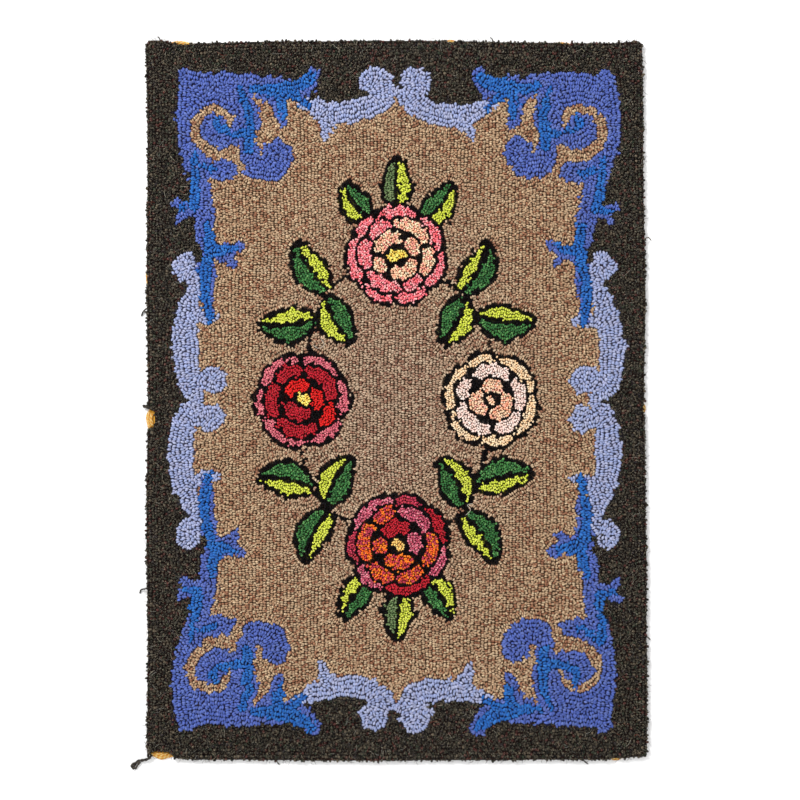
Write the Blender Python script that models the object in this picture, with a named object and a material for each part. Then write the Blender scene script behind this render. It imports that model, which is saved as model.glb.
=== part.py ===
"""Hooked rug: wool loops hooked through a golden burlap foundation with its edge turned under.

Two solids lie flat on the surface: the foundation cloth, and the loop pile a hair above it.
The rug's long side runs along Y, its short side along X, and the pile faces up (+Z). Both
outlines wander as a hand-hooked edge does. Units are metres.
"""

import math
from typing import NamedTuple

import bmesh
import bpy

# Driving dimensions.
WIDTH = 0.6350          # short side, left edge to right edge, 25 in
LENGTH = 0.9150         # long side, lower edge to upper edge, 36 in
FOUNDATION_THICK = 0.0022   # burlap with the flat backs of its stitches
PILE_HEIGHT = 0.0055    # loops above the foundation
GAP = 0.0003            # left between the foundation and the pile
CORNER_RADIUS = 0.0085  # the hem turns its corners round
HEM_TUCK = 0.0030       # the cloth's fold lies this far inside the outermost loops
FOLD_ROUND = 0.0009     # the fold's rounding, above and below
PILE_ROUND = 0.0030     # the outermost loops lean over this far
POINT_SPACING = 0.0100  # between points of an outline
CORNER_POINTS = 5       # along the arc of each corner
ROUND_STEPS = 3         # facets in each rounded rim


class Wander(NamedTuple):
    """A place where an edge leaves its straight line."""

    along: float  # share of the side, from its start (left or lower end) to its other end
    out: float    # metres outwards, negative inwards


class Peep(NamedTuple):
    """A stretch where the cloth's fold shows outside the loops."""

    side: str
    along: float  # share of the side, where the stretch is centred
    half: float   # metres, half its length
    reach: float  # metres that the fold comes out past its tucked line


# The sides are named as the rug is looked down on, with its upper edge at +Y.
EDGE_WANDER = {
    "left": (
        Wander(0.00, 0.0000),
        Wander(0.16, -0.0010),
        Wander(0.34, 0.0008),
        Wander(0.50, -0.0012),
        Wander(0.66, 0.0004),
        Wander(0.86, -0.0008),
        Wander(1.00, 0.0012),
    ),
    "right": (
        Wander(0.00, 0.0030),
        Wander(0.22, 0.0024),
        Wander(0.42, 0.0006),
        Wander(0.50, -0.0010),
        Wander(0.64, 0.0008),
        Wander(0.84, -0.0018),
        Wander(1.00, -0.0030),
    ),
    "lower": (
        Wander(0.00, -0.0040),
        Wander(0.10, 0.0000),
        Wander(0.40, 0.0014),
        Wander(0.70, 0.0006),
        Wander(0.93, 0.0000),
        Wander(1.00, -0.0040),
    ),
    "upper": (
        Wander(0.00, 0.0022),
        Wander(0.09, -0.0020),
        Wander(0.30, 0.0006),
        Wander(0.56, 0.0010),
        Wander(0.80, -0.0016),
        Wander(0.93, -0.0020),
        Wander(1.00, 0.0006),
    ),
}

PEEPS = (
    Peep("left", 0.474, 0.013, 0.0052),
    Peep("left", 0.672, 0.020, 0.0030),
    Peep("right", 0.490, 0.012, 0.0040),
    Peep("lower", 0.030, 0.016, 0.0052),
    Peep("lower", 0.945, 0.010, 0.0040),
    Peep("upper", 0.070, 0.022, 0.0044),
    Peep("upper", 0.610, 0.012, 0.0034),
    Peep("upper", 0.835, 0.012, 0.0034),
)


def wander_at(side, along):
    """Returns how far the edge stands out at a share of the side, eased between its rows."""
    rows = EDGE_WANDER[side]
    for low, high in zip(rows, rows[1:]):
        if along <= high.along:
            share = (along - low.along) / (high.along - low.along)
            ease = (1.0 - math.cos(math.pi * max(0.0, share))) / 2.0
            return low.out + (high.out - low.out) * ease
    return rows[-1].out


def peep_at(side, along):
    """Returns how far the cloth's fold comes out past its tucked line at a share of the side."""
    length = LENGTH if side in ("left", "right") else WIDTH
    reach = 0.0
    for peep in PEEPS:
        away = abs(along - peep.along) * length / peep.half
        if peep.side == side and away < 1.0:
            reach = max(reach, peep.reach * math.cos(away * math.pi / 2.0) ** 2)
    return reach


def side_points(side, tuck):
    """Returns a side's points from end to end, between its rounded corners.

    A tuck above zero draws the line inwards, as the cloth's fold lies, and lets it come back
    out where the fold shows.
    """
    upright = side in ("left", "right")
    length, across = (LENGTH, WIDTH) if upright else (WIDTH, LENGTH)
    sign = -1.0 if side in ("left", "lower") else 1.0
    run = length - 2.0 * CORNER_RADIUS
    count = round(run / POINT_SPACING)
    points = []
    for step in range(count + 1):
        place = CORNER_RADIUS + run * step / count
        along = place / length
        out = wander_at(side, along) - tuck
        if tuck:
            out += peep_at(side, along)
        run_to, stands = place - length / 2.0, sign * (across / 2.0 + out)
        points.append((stands, run_to) if upright else (run_to, stands))
    return points


def corner_points(start, end, inward):
    """Returns the points of an arc-like corner between two sides, without its ends.

    The arc is a quadratic curve, drawn towards the place where the two sides would meet.
    """
    meet = (end[0], start[1]) if inward == "x" else (start[0], end[1])
    points = []
    for step in range(1, CORNER_POINTS):
        t = step / CORNER_POINTS
        weights = ((1.0 - t) ** 2, 2.0 * t * (1.0 - t), t**2)
        points.append(
            tuple(sum(w * p[i] for w, p in zip(weights, (start, meet, end))) for i in (0, 1))
        )
    return points


def outline(tuck):
    """Returns the rug's outline, anticlockwise from above, drawn in by tuck."""
    lower = side_points("lower", tuck)
    right = side_points("right", tuck)
    upper = side_points("upper", tuck)[::-1]
    left = side_points("left", tuck)[::-1]
    points = []
    for side, following, inward in (
        (lower, right, "x"),
        (right, upper, "y"),
        (upper, left, "x"),
        (left, lower, "y"),
    ):
        points += side
        points += corner_points(side[-1], following[0], inward)
    return points


def centre_shift(points):
    """Returns the shift that centres a set of outline points on the origin."""
    xs = [x for x, _ in points]
    ys = [y for _, y in points]
    return (-(min(xs) + max(xs)) / 2.0, -(min(ys) + max(ys)) / 2.0)


def slab(name, points, bottom, thick, rim_width, rims):
    """Builds a flat slab on an outline, with its rims rounded.

    rims names the rounded rims, "top", or "top" and "bottom".
    """
    bm = bmesh.new()
    ring = [bm.verts.new((x, y, bottom)) for x, y in points]
    base = bm.faces.new(ring)
    raised = bmesh.ops.extrude_face_region(bm, geom=[base])
    lifted = [item for item in raised["geom"] if isinstance(item, bmesh.types.BMVert)]
    bmesh.ops.translate(bm, vec=(0.0, 0.0, thick), verts=lifted)
    heights = {"top": bottom + thick, "bottom": bottom}
    for rim in rims:
        edges = [
            edge
            for edge in bm.edges
            if all(abs(v.co.z - heights[rim]) < 1e-6 for v in edge.verts)
        ]
        bmesh.ops.bevel(
            bm,
            geom=edges,
            offset=rim_width,
            offset_type="OFFSET",
            affect="EDGES",
            segments=ROUND_STEPS,
            profile=0.5,
            material=-1,
            clamp_overlap=True,
        )
    bmesh.ops.recalc_face_normals(bm, faces=bm.faces)
    mesh = bpy.data.meshes.new(name)
    bm.to_mesh(mesh)
    bm.free()
    mesh.shade_smooth()
    mesh.set_sharp_from_angle(angle=math.radians(40.0))
    part = bpy.data.objects.new(name, mesh)
    bpy.context.scene.collection.objects.link(part)
    return part


def dress(part, colour, roughness):
    """Gives a part its own plain cloth material."""
    material = bpy.data.materials.new(part.name)
    material.use_nodes = True
    shader = material.node_tree.nodes["Principled BSDF"]
    shader.inputs["Base Color"].default_value = (*colour, 1.0)
    shader.inputs["Roughness"].default_value = roughness
    shader.inputs["Metallic"].default_value = 0.0
    part.data.materials.append(material)


def build():
    """Builds the foundation cloth and the pile, centred on the origin and resting on z = 0."""
    pile_line = outline(0.0)
    cloth_line = outline(HEM_TUCK)
    shift_x, shift_y = centre_shift(pile_line + cloth_line)

    foundation = slab(
        "foundation", cloth_line, 0.0, FOUNDATION_THICK, FOLD_ROUND, ("top", "bottom")
    )
    pile = slab(
        "loop_pile", pile_line, FOUNDATION_THICK + GAP, PILE_HEIGHT, PILE_ROUND, ("top",)
    )
    for part in (foundation, pile):
        part.location = (shift_x, shift_y, 0.0)
    dress(foundation, (0.78, 0.45, 0.09), 0.95)
    dress(pile, (0.22, 0.16, 0.12), 0.98)


for leftover in list(bpy.data.objects):
    bpy.data.objects.remove(leftover, do_unlink=True)
build()
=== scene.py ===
"""Hooked rug: a pile of wool loops in a floral design, on a golden burlap foundation.

The chart says which yarn lies where. It is painted with scrolls, petals, leaves and stems,
each a stroke of places and half widths. Rows of loops then follow the edges of each patch of
colour, the way a rug is hooked, and every loop is a small mound that keeps its own shade.
Distances in the design tables are millimetres, all others metres.
"""

import logging
import math
from dataclasses import dataclass, field
from enum import Enum, IntEnum
from typing import NamedTuple

import bmesh
import bpy
import numpy as np
from mathutils import Matrix, Vector


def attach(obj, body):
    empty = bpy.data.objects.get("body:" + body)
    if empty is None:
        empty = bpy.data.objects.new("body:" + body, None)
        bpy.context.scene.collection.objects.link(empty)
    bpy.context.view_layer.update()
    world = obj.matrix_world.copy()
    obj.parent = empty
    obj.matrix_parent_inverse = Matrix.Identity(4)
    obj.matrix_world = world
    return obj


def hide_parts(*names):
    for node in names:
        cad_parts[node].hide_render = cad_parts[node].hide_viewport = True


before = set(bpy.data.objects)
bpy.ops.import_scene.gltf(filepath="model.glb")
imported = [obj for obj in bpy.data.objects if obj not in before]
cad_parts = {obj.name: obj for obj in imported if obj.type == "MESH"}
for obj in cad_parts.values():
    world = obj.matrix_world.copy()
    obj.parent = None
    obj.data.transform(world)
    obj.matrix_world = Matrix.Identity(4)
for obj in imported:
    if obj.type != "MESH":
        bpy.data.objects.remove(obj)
log = logging.getLogger("hooked_rug")

Array = np.ndarray
Rng = np.random.Generator
Piece = bpy.types.Object
Tree = bpy.types.NodeTree

MM = 0.001
BODY = "root"
FOUNDATION_NODE = "foundation"
PILE_NODE = "loop_pile"
SEED = 1936


# ---- yarns


class Yarn(IntEnum):
    """The yarns of the rug. Their numbers are what the chart holds."""

    NONE = 0
    CHARCOAL = 1
    TWEED = 2
    PERIWINKLE = 3
    AZURE = 4
    SKY = 5
    BLACK = 6
    LIME = 7
    EMERALD = 8
    SAGE = 9
    CORAL = 10
    SALMON = 11
    GOLD = 12
    SCARLET = 13
    CRIMSON = 14
    DUSTY_ROSE = 15
    LEMON = 16
    CREAM = 17
    BLUSH = 18
    APRICOT = 19
    ORANGE = 20
    RASPBERRY = 21
    HEATHER_PINK = 22
    STRAW = 23


@dataclass(frozen=True)
class Dye:
    """The colours that one yarn is spun from.

    Attributes:
        shades: hex colours, one of which each loop shows.
        stray: how far a loop's brightness strays from its shade, as a share.
    """

    shades: tuple[str, ...]
    stray: float


DYES: dict[Yarn, Dye] = {
    Yarn.CHARCOAL: Dye(
        ("272320", "1d1b18", "2c2924", "161514", "252320", "322e26", "201e1b", "262224",
         "36342e", "21201d", "2a2622", "3d372f", "181717", "442624", "262d24", "4f463a"),
        0.24,
    ),
    Yarn.TWEED: Dye(
        ("cdb08d", "c2a07e", "d5bb97", "b99674", "c7a986", "af8769", "cfb391", "a57759",
         "be9d7b", "caab88", "9c6d52", "c1a280"),
        0.10,
    ),
    Yarn.PERIWINKLE: Dye(("5063af", "586cb4", "495da7", "5366b2", "5e6fb2"), 0.09),
    Yarn.AZURE: Dye(("2567b8", "205ead", "3070bc", "2b63b0"), 0.08),
    Yarn.SKY: Dye(("9fa7cd", "95a0c9", "aab0cf", "9ba6cd", "a2a6c6"), 0.06),
    Yarn.BLACK: Dye(("110f10", "0b0a0b", "141213", "0e0c0f", "181518"), 0.16),
    Yarn.LIME: Dye(("d8e048", "e2e85d", "c9d53e", "dbe254"), 0.08),
    Yarn.EMERALD: Dye(("3a7639", "2a5e2d", "448142", "356b39", "5c9452", "2f6c36"), 0.16),
    Yarn.SAGE: Dye(("667e51", "748859", "5c7648", "819264", "6b8654"), 0.12),
    Yarn.CORAL: Dye(("ff7e86", "ff9da3", "ff6a74", "ffb8b7", "ff8594"), 0.08),
    Yarn.SALMON: Dye(("ffc6a1", "ffdab1", "ffb38f", "ffeac6", "ffa998"), 0.08),
    Yarn.GOLD: Dye(("fee66a", "fed958", "fef283", "fbcc54"), 0.07),
    Yarn.SCARLET: Dye(("e71816", "ec211b", "da1315", "e81d19"), 0.07),
    Yarn.CRIMSON: Dye(("be1627", "c81d30", "ae1323", "c62031", "b51a2c"), 0.08),
    Yarn.DUSTY_ROSE: Dye(("e37583", "d86677", "eb868d", "d06070"), 0.07),
    Yarn.LEMON: Dye(("ffea72", "ffe263", "fff388", "ffd75c"), 0.06),
    Yarn.CREAM: Dye(("fddcaf", "fde5bf", "fdd1a0", "fddeb8"), 0.06),
    Yarn.BLUSH: Dye(("ffe5d8", "ffeee3", "ffd9cc", "ffe7dd", "ffe0d0"), 0.05),
    Yarn.APRICOT: Dye(("ffcba5", "ffae8a", "ffdcb5", "ffbba5", "ffdabd"), 0.07),
    Yarn.ORANGE: Dye(
        ("fc6a19", "fd8420", "ee5a2c", "c43a50",
         "fb8a26", "cc4256", "da4a3c", "b8304a"),
        0.1,
    ),
    Yarn.RASPBERRY: Dye(("bc304c", "a32440", "d2455f", "c13848"), 0.11),
    Yarn.HEATHER_PINK: Dye(("d25c71", "e68094", "bb4260", "e78b96", "c4506c"), 0.11),
    Yarn.STRAW: Dye(("ffcf73", "ffda80", "ffc566"), 0.06),
}


def linear(hex_colour: str) -> tuple[float, float, float]:
    """Turns a colour as it looks on a screen into the linear values that a shader takes.

    Args:
        hex_colour: six hex digits.

    Returns:
        Linear red, green and blue, 0 to 1.
    """
    shown = (int(hex_colour[i : i + 2], 16) / 255.0 for i in (0, 2, 4))
    return tuple(c / 12.92 if c <= 0.04045 else ((c + 0.055) / 1.055) ** 2.4 for c in shown)


# ---- chart


@dataclass
class Chart:
    """The hooker's chart: a fine grid over the rug that holds a yarn in each cell.

    Attributes:
        low: the chart's lowest x and y.
        high: its highest x and y.
        cell: a cell's side.
        yarns: the yarn numbers, one row for each step along y.
    """

    low: tuple[float, float]
    high: tuple[float, float]
    cell: float = 0.6 * MM
    yarns: Array = field(init=False)

    def __post_init__(self) -> None:
        """Lays out the empty grid."""
        columns = math.ceil((self.high[0] - self.low[0]) / self.cell)
        rows = math.ceil((self.high[1] - self.low[1]) / self.cell)
        self.yarns = np.zeros((rows, columns), np.uint8)

    def place(self, cells: Array) -> Array:
        """Returns the rug places of fractional cells given as (column, row) pairs."""
        return np.asarray(self.low) + (cells + 0.5) * self.cell

    def cells_at(self, points: Array) -> tuple[Array, Array]:
        """Finds the cells that hold some places.

        Args:
            points: places as (x, y) pairs.

        Returns:
            The cells' rows and columns, kept inside the grid.
        """
        spots = np.floor((points - np.asarray(self.low)) / self.cell).astype(int)
        rows, columns = self.yarns.shape
        return np.clip(spots[:, 1], 0, rows - 1), np.clip(spots[:, 0], 0, columns - 1)

    def under(self, grid: Array, points: Array) -> Array:
        """Returns what a grid of the chart's size holds at each of some places."""
        return grid[self.cells_at(points)]

    def dab(self, x: float, y: float, half: float, yarn: Yarn) -> None:
        """Paints a round dab.

        Args:
            x: the dab's middle along x.
            y: its middle along y.
            half: its radius.
            yarn: what it is painted with.
        """
        rows, columns = self.yarns.shape
        column, row = (x - self.low[0]) / self.cell, (y - self.low[1]) / self.cell
        reach = half / self.cell
        top, bottom = max(0, int(row - reach) - 1), min(rows, int(row + reach) + 2)
        left, right = max(0, int(column - reach) - 1), min(columns, int(column + reach) + 2)
        down = (np.arange(top, bottom) + 0.5 - row)[:, None]
        across = (np.arange(left, right) + 0.5 - column)[None, :]
        self.yarns[top:bottom, left:right][down**2 + across**2 < reach**2] = yarn

    def stroke(self, path: Array, yarn: Yarn, grow: float = 0.0) -> None:
        """Paints a stroke of varying width.

        Args:
            path: rows of x, y and half width along the stroke.
            yarn: what it is painted with.
            grow: added to each half width.
        """
        for x, y, half in path:
            if half + grow > 0.0:
                self.dab(x, y, half + grow, yarn)

    def inside(self, ring: Array) -> Array:
        """Finds the cells within a closed outline.

        Args:
            ring: the outline's (x, y) points in order.

        Returns:
            A grid that is true inside the outline.
        """
        rows, columns = self.yarns.shape
        crossings = np.zeros((rows, columns + 1), np.int32)
        points = (ring - np.asarray(self.low)) / self.cell - 0.5
        for (x0, y0), (x1, y1) in zip(points, np.roll(points, -1, axis=0)):
            if y0 == y1:
                continue
            first, last = sorted((y0, y1))
            across = np.arange(max(0, math.ceil(first)), min(rows, math.ceil(last)))
            at = x0 + (across - y0) * (x1 - x0) / (y1 - y0)
            columns_at = np.clip(np.ceil(at).astype(int), 0, columns)
            np.add.at(crossings, (across, columns_at), 1)
        return np.cumsum(crossings, axis=1)[:, :columns] % 2 == 1

    def wander(self, reach: float, shortest: float, longest: float, rng: Rng) -> None:
        """Makes the edges of all patches wander, as hand-hooked ones do.

        Args:
            reach: about how far an edge strays.
            shortest: the shortest wave along an edge.
            longest: the longest.
            rng: mixes the waves.
        """
        waves = 10
        rows, columns = self.yarns.shape
        down = np.arange(rows)[:, None] * self.cell
        side = np.arange(columns)[None, :] * self.cell
        moved = []
        for _ in range(2):
            shift = np.zeros((rows, columns))
            for _ in range(waves):
                count = 2 * math.pi / rng.uniform(shortest, longest)
                way, phase = rng.uniform(0.0, 2 * math.pi, 2)
                shift += np.sin(count * (math.cos(way) * side + math.sin(way) * down) + phase)
            shift *= reach / math.sqrt(waves / 2) / self.cell
            moved.append(shift.round().astype(int))
        from_rows = np.clip(np.arange(rows)[:, None] + moved[0], 0, rows - 1)
        from_columns = np.clip(np.arange(columns)[None, :] + moved[1], 0, columns - 1)
        strayed = self.yarns[from_rows, from_columns]
        strayed[strayed == 0] = Yarn.CHARCOAL
        strayed[self.yarns == 0] = 0
        self.yarns = strayed


def smooth_path(spots: Array, step: float = 0.8 * MM, closed: bool = False) -> Array:
    """Runs a smooth curve (Catmull-Rom) through some spots.

    Args:
        spots: rows of x, y and any further values.
        step: about how far apart the curve's rows are.
        closed: whether the curve joins its own start.

    Returns:
        The curve's rows, with every value eased between the spots.
    """
    if closed:
        framed = np.vstack([spots[-1], spots, spots[:2]])
    else:
        framed = np.vstack([2 * spots[0] - spots[1], spots, 2 * spots[-1] - spots[-2]])
    runs = []
    for before, start, end, after in zip(framed, framed[1:], framed[2:], framed[3:]):
        count = max(2, math.ceil(np.hypot(*(end - start)[:2]) / step))
        t = np.arange(count)[:, None] / count
        curve = 2 * start + (end - before) * t
        curve += (2 * before - 5 * start + 4 * end - after) * t**2
        runs.append((curve + (3 * start - before - 3 * end + after) * t**3) / 2)
    if not closed:
        runs.append(spots[-1:])
    return np.vstack(runs)


def distance_inside(mask: Array, reach: int) -> Array:
    """Measures how deep each cell lies inside a mask.

    Args:
        mask: a grid that is true inside.
        reach: the depth, in cells, past which cells count as this deep.

    Returns:
        Each cell's distance, in cells, to the nearest cell outside.
    """
    columns = np.arange(mask.shape[1], dtype=np.float32)
    outside = np.where(mask, -1e6, columns)
    left = columns - np.maximum.accumulate(outside, axis=1)
    outside = np.where(mask, 1e6, columns)
    right = np.minimum.accumulate(outside[:, ::-1], axis=1)[:, ::-1] - columns
    flat = np.minimum(np.minimum(left, right), reach).astype(np.float32) ** 2
    best = flat.copy()
    for shift in range(1, reach + 1):
        np.minimum(best[shift:], flat[:-shift] + shift**2, out=best[shift:])
        np.minimum(best[:-shift], flat[shift:] + shift**2, out=best[:-shift])
    return np.sqrt(np.minimum(best, reach**2))


def softened(grid: Array, passes: int = 2) -> Array:
    """Evens out a grid's steps.

    Args:
        grid: the values.
        passes: how often each cell is averaged with its neighbours.

    Returns:
        The softened grid.
    """
    soft = grid.astype(np.float32)
    for _ in range(passes):
        for axis in (0, 1):
            soft = (np.roll(soft, 1, axis) + 2 * soft + np.roll(soft, -1, axis)) / 4
    return soft


# ---- design


class Layer(NamedTuple):
    """Strokes of one yarn, each as rows of x, y and half width in mm."""

    yarn: Yarn
    strokes: tuple[Array, ...]


def curl(
    x: float, y: float, far: float, near: float, start: float, sweep: float,
    thick: float, thin: float,
) -> Array:
    """Draws a spiral stroke, or a ball where it turns close round its heart.

    Args:
        x: the heart's place, in mm.
        y: the heart's place, in mm.
        far: how far out the stroke starts.
        near: how far out it ends.
        start: the angle at which it starts, in degrees from +X.
        sweep: how far it turns, anticlockwise.
        thick: its half width at the start.
        thin: its half width at the end.

    Returns:
        Rows of x, y and half width.
    """
    t = np.linspace(0.0, 1.0, 16)
    angle, ring = np.radians(start + sweep * t), far + (near - far) * t
    half = thick + (thin - thick) * t
    return np.column_stack([x + ring * np.cos(angle), y + ring * np.sin(angle), half])


def ball(x: float, y: float, half: float) -> Array:
    """Returns the rows of a round ball of a radius, in mm."""
    return curl(x, y, half * 0.4, 1.0, 0.0, 540.0, half * 0.6, half * 0.6)


def swag(start: tuple[float, float], end: tuple[float, float], bow: float, *halves: float) -> Array:
    """Draws a stroke that bows evenly between two places.

    Args:
        start: its first place, in mm.
        end: its last place, in mm.
        bow: how far its middle bows to the left of its way.
        halves: its half widths, evenly spread from start to end.

    Returns:
        Rows of x, y and half width.
    """
    t = np.linspace(0.0, 1.0, 10)
    along = np.subtract(end, start).astype(float)
    left = np.array((-along[1], along[0])) / np.hypot(*along)
    places = start + np.outer(t, along) + np.outer(4.0 * bow * t * (1.0 - t), left)
    return np.column_stack([places, np.interp(t, np.linspace(0.0, 1.0, len(halves)), halves)])


def swayed(points: Array, sway: float) -> Array:
    """Shifts places a little, as a hand that draws each quarter anew does.

    Args:
        points: rows of x, y and any further values, in mm.
        sway: about how far they shift, in mm.

    Returns:
        The rows with their places shifted.
    """
    moved = np.array(points, float)
    x, y = moved[:, 0] * 0.013, moved[:, 1] * 0.011
    moved[:, 0] += sway * (np.sin(2.1 * y + 0.6) + 0.6 * np.sin(3.7 * x + 1.9 * y))
    moved[:, 1] += sway * (np.sin(2.3 * x + 2.2) + 0.6 * np.sin(3.1 * y - 1.3 * x))
    return moved


QUARTERS = ((1, 1), (-1, 1), (-1, -1), (1, -1))

# The line that parts the field from the border, in mm, for the upper right quarter.
FRAME_LINE = (
    (0, 384), (60, 366), (110, 370), (140, 394), (200, 404), (254, 404), (266, 345), (252, 270),
    (236, 200), (244, 140), (268, 90), (270, 30), (256, 0),
)

# The upper right quarter, painted in this order: what comes later lies over what came before.
SCROLLS: tuple[Layer, ...] = (
    # The light scrolls: a garland from the middle's ball, then a side band with ball and hook.
    Layer(Yarn.SKY, (
        swag((8, 384), (122, 380), -17, 13, 14, 14, 13, 6),
        ball(26, 401, 22),
        swag((82, 362), (94, 336), 2, 12, 5),
        swag((256, -4), (250, 150), -19, 11, 15, 17, 14, 10),
        ball(238, 24, 20),
        swag((260, 108), (226, 100), 3, 11, 5),
        curl(263, 173, 15, 7, -135, 290, 11, 6),
    )),
    # The corner crest: along the top to an upturned ear, with a knob at the corner.
    Layer(Yarn.PERIWINKLE, (
        ball(265, 409, 13),
        swag((262, 401), (124, 396), 0, 14, 16, 17, 15, 13),
        swag((130, 394), (104, 415), 4, 13, 12, 10),
    )),
    # Down the side: a bulge, a neck, a strip, and two forked leaves that point out and in.
    Layer(Yarn.PERIWINKLE, (
        swag((262, 404), (254, 276), 7, 14, 17, 18, 14, 11),
        swag((254, 280), (240, 105), -8, 12, 14, 11, 10, 9, 6),
        swag((246, 246), (279, 250), -4, 10, 5),
        swag((246, 243), (275, 229), 4, 10, 5),
        swag((236, 190), (197, 196), 4, 12, 6),
        swag((236, 188), (205, 172), -4, 12, 5),
    )),
    # The volute with a leaf below it, and the stem that ends in a ball.
    Layer(Yarn.PERIWINKLE, (
        ball(227, 345, 46),
        swag((252, 298), (214, 290), 5, 10, 13, 10),
        swag((196, 400), (192, 302), -8, 11, 12, 13, 13),
        swag((194, 304), (156, 296), 6, 13, 14),
        ball(154, 310, 24),
        swag((152, 386), (145, 350), 2, 12, 5),
    )),
    # Field showing inside the corner: the volute's spiral gap, and the wedge beside the stem.
    Layer(Yarn.TWEED, (
        curl(230, 345, 37, 15, -125, 335, 7, 4),
        swag((210, 314), (202, 292), 0, 7, 6),
        swag((181, 388), (166, 336), -5, 2, 6, 10),
        swag((174, 334), (172, 314), 0, 5, 4),
    )),
    # Bright cores.
    Layer(Yarn.AZURE, (
        swag((184, 398), (106, 412), 8, 4, 8, 11, 9, 8),
        swag((148, 384), (144, 362), 0, 8, 4),
        swag((130, 388), (113, 374), 0, 6, 4),
        swag((197, 396), (190, 316), -7, 4, 6, 7, 6),
        curl(222, 348, 12, 6, 60, -190, 5, 4),
        swag((190, 336), (216, 336), 0, 7, 4),
        swag((260, 306), (256, 246), 0, 5, 6, 7),
        swag((256, 246), (272, 242), 0, 7, 4),
        swag((248, 294), (232, 289), 0, 6, 4),
        swag((238, 222), (232, 192), 0, 5, 8),
        swag((232, 190), (206, 193), 2, 9, 5),
        swag((235, 184), (236, 98), 6, 7, 7, 7, 4),
    )),
    # Border showing inside the hook.
    Layer(Yarn.CHARCOAL, (
        swag((250, 194), (247, 176), 0, 4, 3),
    )),
)

# Small wedges that part the quarters where they meet, in mm from the rug's middle.
MEETINGS: tuple[Layer, ...] = (
    Layer(Yarn.CHARCOAL, (
        *(swag((0, 430 * way), (0, 407 * way), 0, 8, 2) for way in (1, -1)),
        *(swag((280 * way, 0), (264 * way, 0), 0, 6, 2) for way in (-1, 1)),
    )),
    Layer(Yarn.TWEED, (
        *(swag((0, 362 * way), (0, 384 * way), 0, 8, 2) for way in (1, -1)),
        *(swag((222 * way, 0), (232 * way, 0), 0, 6, 3) for way in (-1, 1)),
    )),
)


@dataclass
class ScrollFrame:
    """The blue scrolls between field and border, one quarter drawn and mirrored four ways.

    Attributes:
        sway: how far, in mm, the hand-drawn quarters stray from true mirror images.
    """

    sway: float = 2.4

    def quarters(self, points: Array) -> list[Array]:
        """Mirrors rows of x, y, ... into the four quarters, swayed and in metres.

        Args:
            points: the upper right quarter's rows, in mm.

        Returns:
            The rows for each quarter.
        """
        copies = []
        for across, up in QUARTERS:
            signs = np.ones(points.shape[1])
            signs[:2] = across, up
            copies.append(swayed(points * signs, self.sway) * MM)
        return copies

    def paint(self, chart: Chart) -> None:
        """Parts the field from the border, and paints the scrolls over the parting.

        Args:
            chart: the chart, filled with the border's yarn.
        """
        upper_right, upper_left, lower_left, lower_right = self.quarters(np.array(FRAME_LINE))
        ring = np.vstack([upper_right, lower_right[::-1], lower_left, upper_left[::-1]])
        chart.yarns[chart.inside(ring) & (chart.yarns > 0)] = Yarn.TWEED
        for yarn, strokes in SCROLLS:
            for spots in strokes:
                for quarter in self.quarters(spots):
                    chart.stroke(smooth_path(quarter), yarn)
        for yarn, strokes in MEETINGS:
            for spots in strokes:
                chart.stroke(smooth_path(spots * MM), yarn)


class PetalRing(NamedTuple):
    """A ring of petals, each a curved bar round the rose's heart, in mm and degrees."""

    radius: float  # distance from the heart to the petals' ends
    half: float  # half a petal's width in its middle
    turn: float  # the angle at which the first petal starts, anticlockwise from +X
    yarns: tuple[Yarn, ...]  # one for each petal, in turn
    bow: float = 1.5  # how much farther out a petal's middle is


@dataclass(frozen=True)
class Rose:
    """A rose: rings of petals round its heart, each petal with a black outline.

    Attributes:
        x: the heart's place, in mm.
        y: the heart's place, in mm.
        rings: the rings of petals, from the outside in.
        heart: the heart's own stroke, in mm from the rose's middle.
        heart_yarn: the heart's yarn.
        ground: radius of the black ground behind the petals, in mm.
        outline: how wide the black shows between petals, in mm.
        rim: how wide it shows round the whole rose, in mm.
        plump: added to each petal's half width, in mm.
        uneven: how much petals differ in length, as a share.
    """

    x: float
    y: float
    rings: tuple[PetalRing, ...]
    heart: Array
    heart_yarn: Yarn
    ground: float = 46.0
    outline: float = 3.1
    rim: float = 4.6
    plump: float = 2.0
    uneven: float = 0.16

    def petals(self, ring: PetalRing) -> list[tuple[Array, Yarn]]:
        """Works out the petals of one ring.

        Args:
            ring: the ring.

        Returns:
            Each petal's rows of x, y and half width in metres, and its yarn.
        """
        share = 360.0 / len(ring.yarns)
        half = ring.half + self.plump
        gap = math.degrees((1.4 * half + self.outline) / ring.radius)
        steps = np.arange(len(ring.yarns) + 1)
        stray = self.uneven * share * np.sin(2.4 * (steps % len(ring.yarns)) + ring.turn)
        edges = ring.turn + share * steps + stray
        t = np.linspace(0.0, 1.0, 30)
        bulge = np.sin(np.pi * t)
        out = ring.radius + ring.bow * bulge
        made = []
        for yarn, start, end in zip(ring.yarns, edges, edges[1:]):
            angle = np.radians(start + gap / 2 + (end - start - gap) * t)
            rows = [self.x + out * np.cos(angle), self.y + out * np.sin(angle),
                    half * (0.70 + 0.30 * np.sqrt(bulge))]
            made.append((np.stack(rows, axis=1) * MM, yarn))
        return made

    def paint(self, chart: Chart) -> None:
        """Paints the black ground, then each petal and the heart over its own black outline."""
        chart.dab(self.x * MM, self.y * MM, self.ground * MM, Yarn.BLACK)
        paths = [petal for ring in self.rings for petal in self.petals(ring)]
        heart = (self.heart + (self.x, self.y, 0.0)) * MM
        paths.append((smooth_path(heart), self.heart_yarn))
        for path, _ in paths:
            chart.stroke(path, Yarn.BLACK, self.rim * MM)
        for path, yarn in paths:
            chart.stroke(path, Yarn.BLACK, self.outline * MM)
            chart.stroke(path, yarn)


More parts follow.
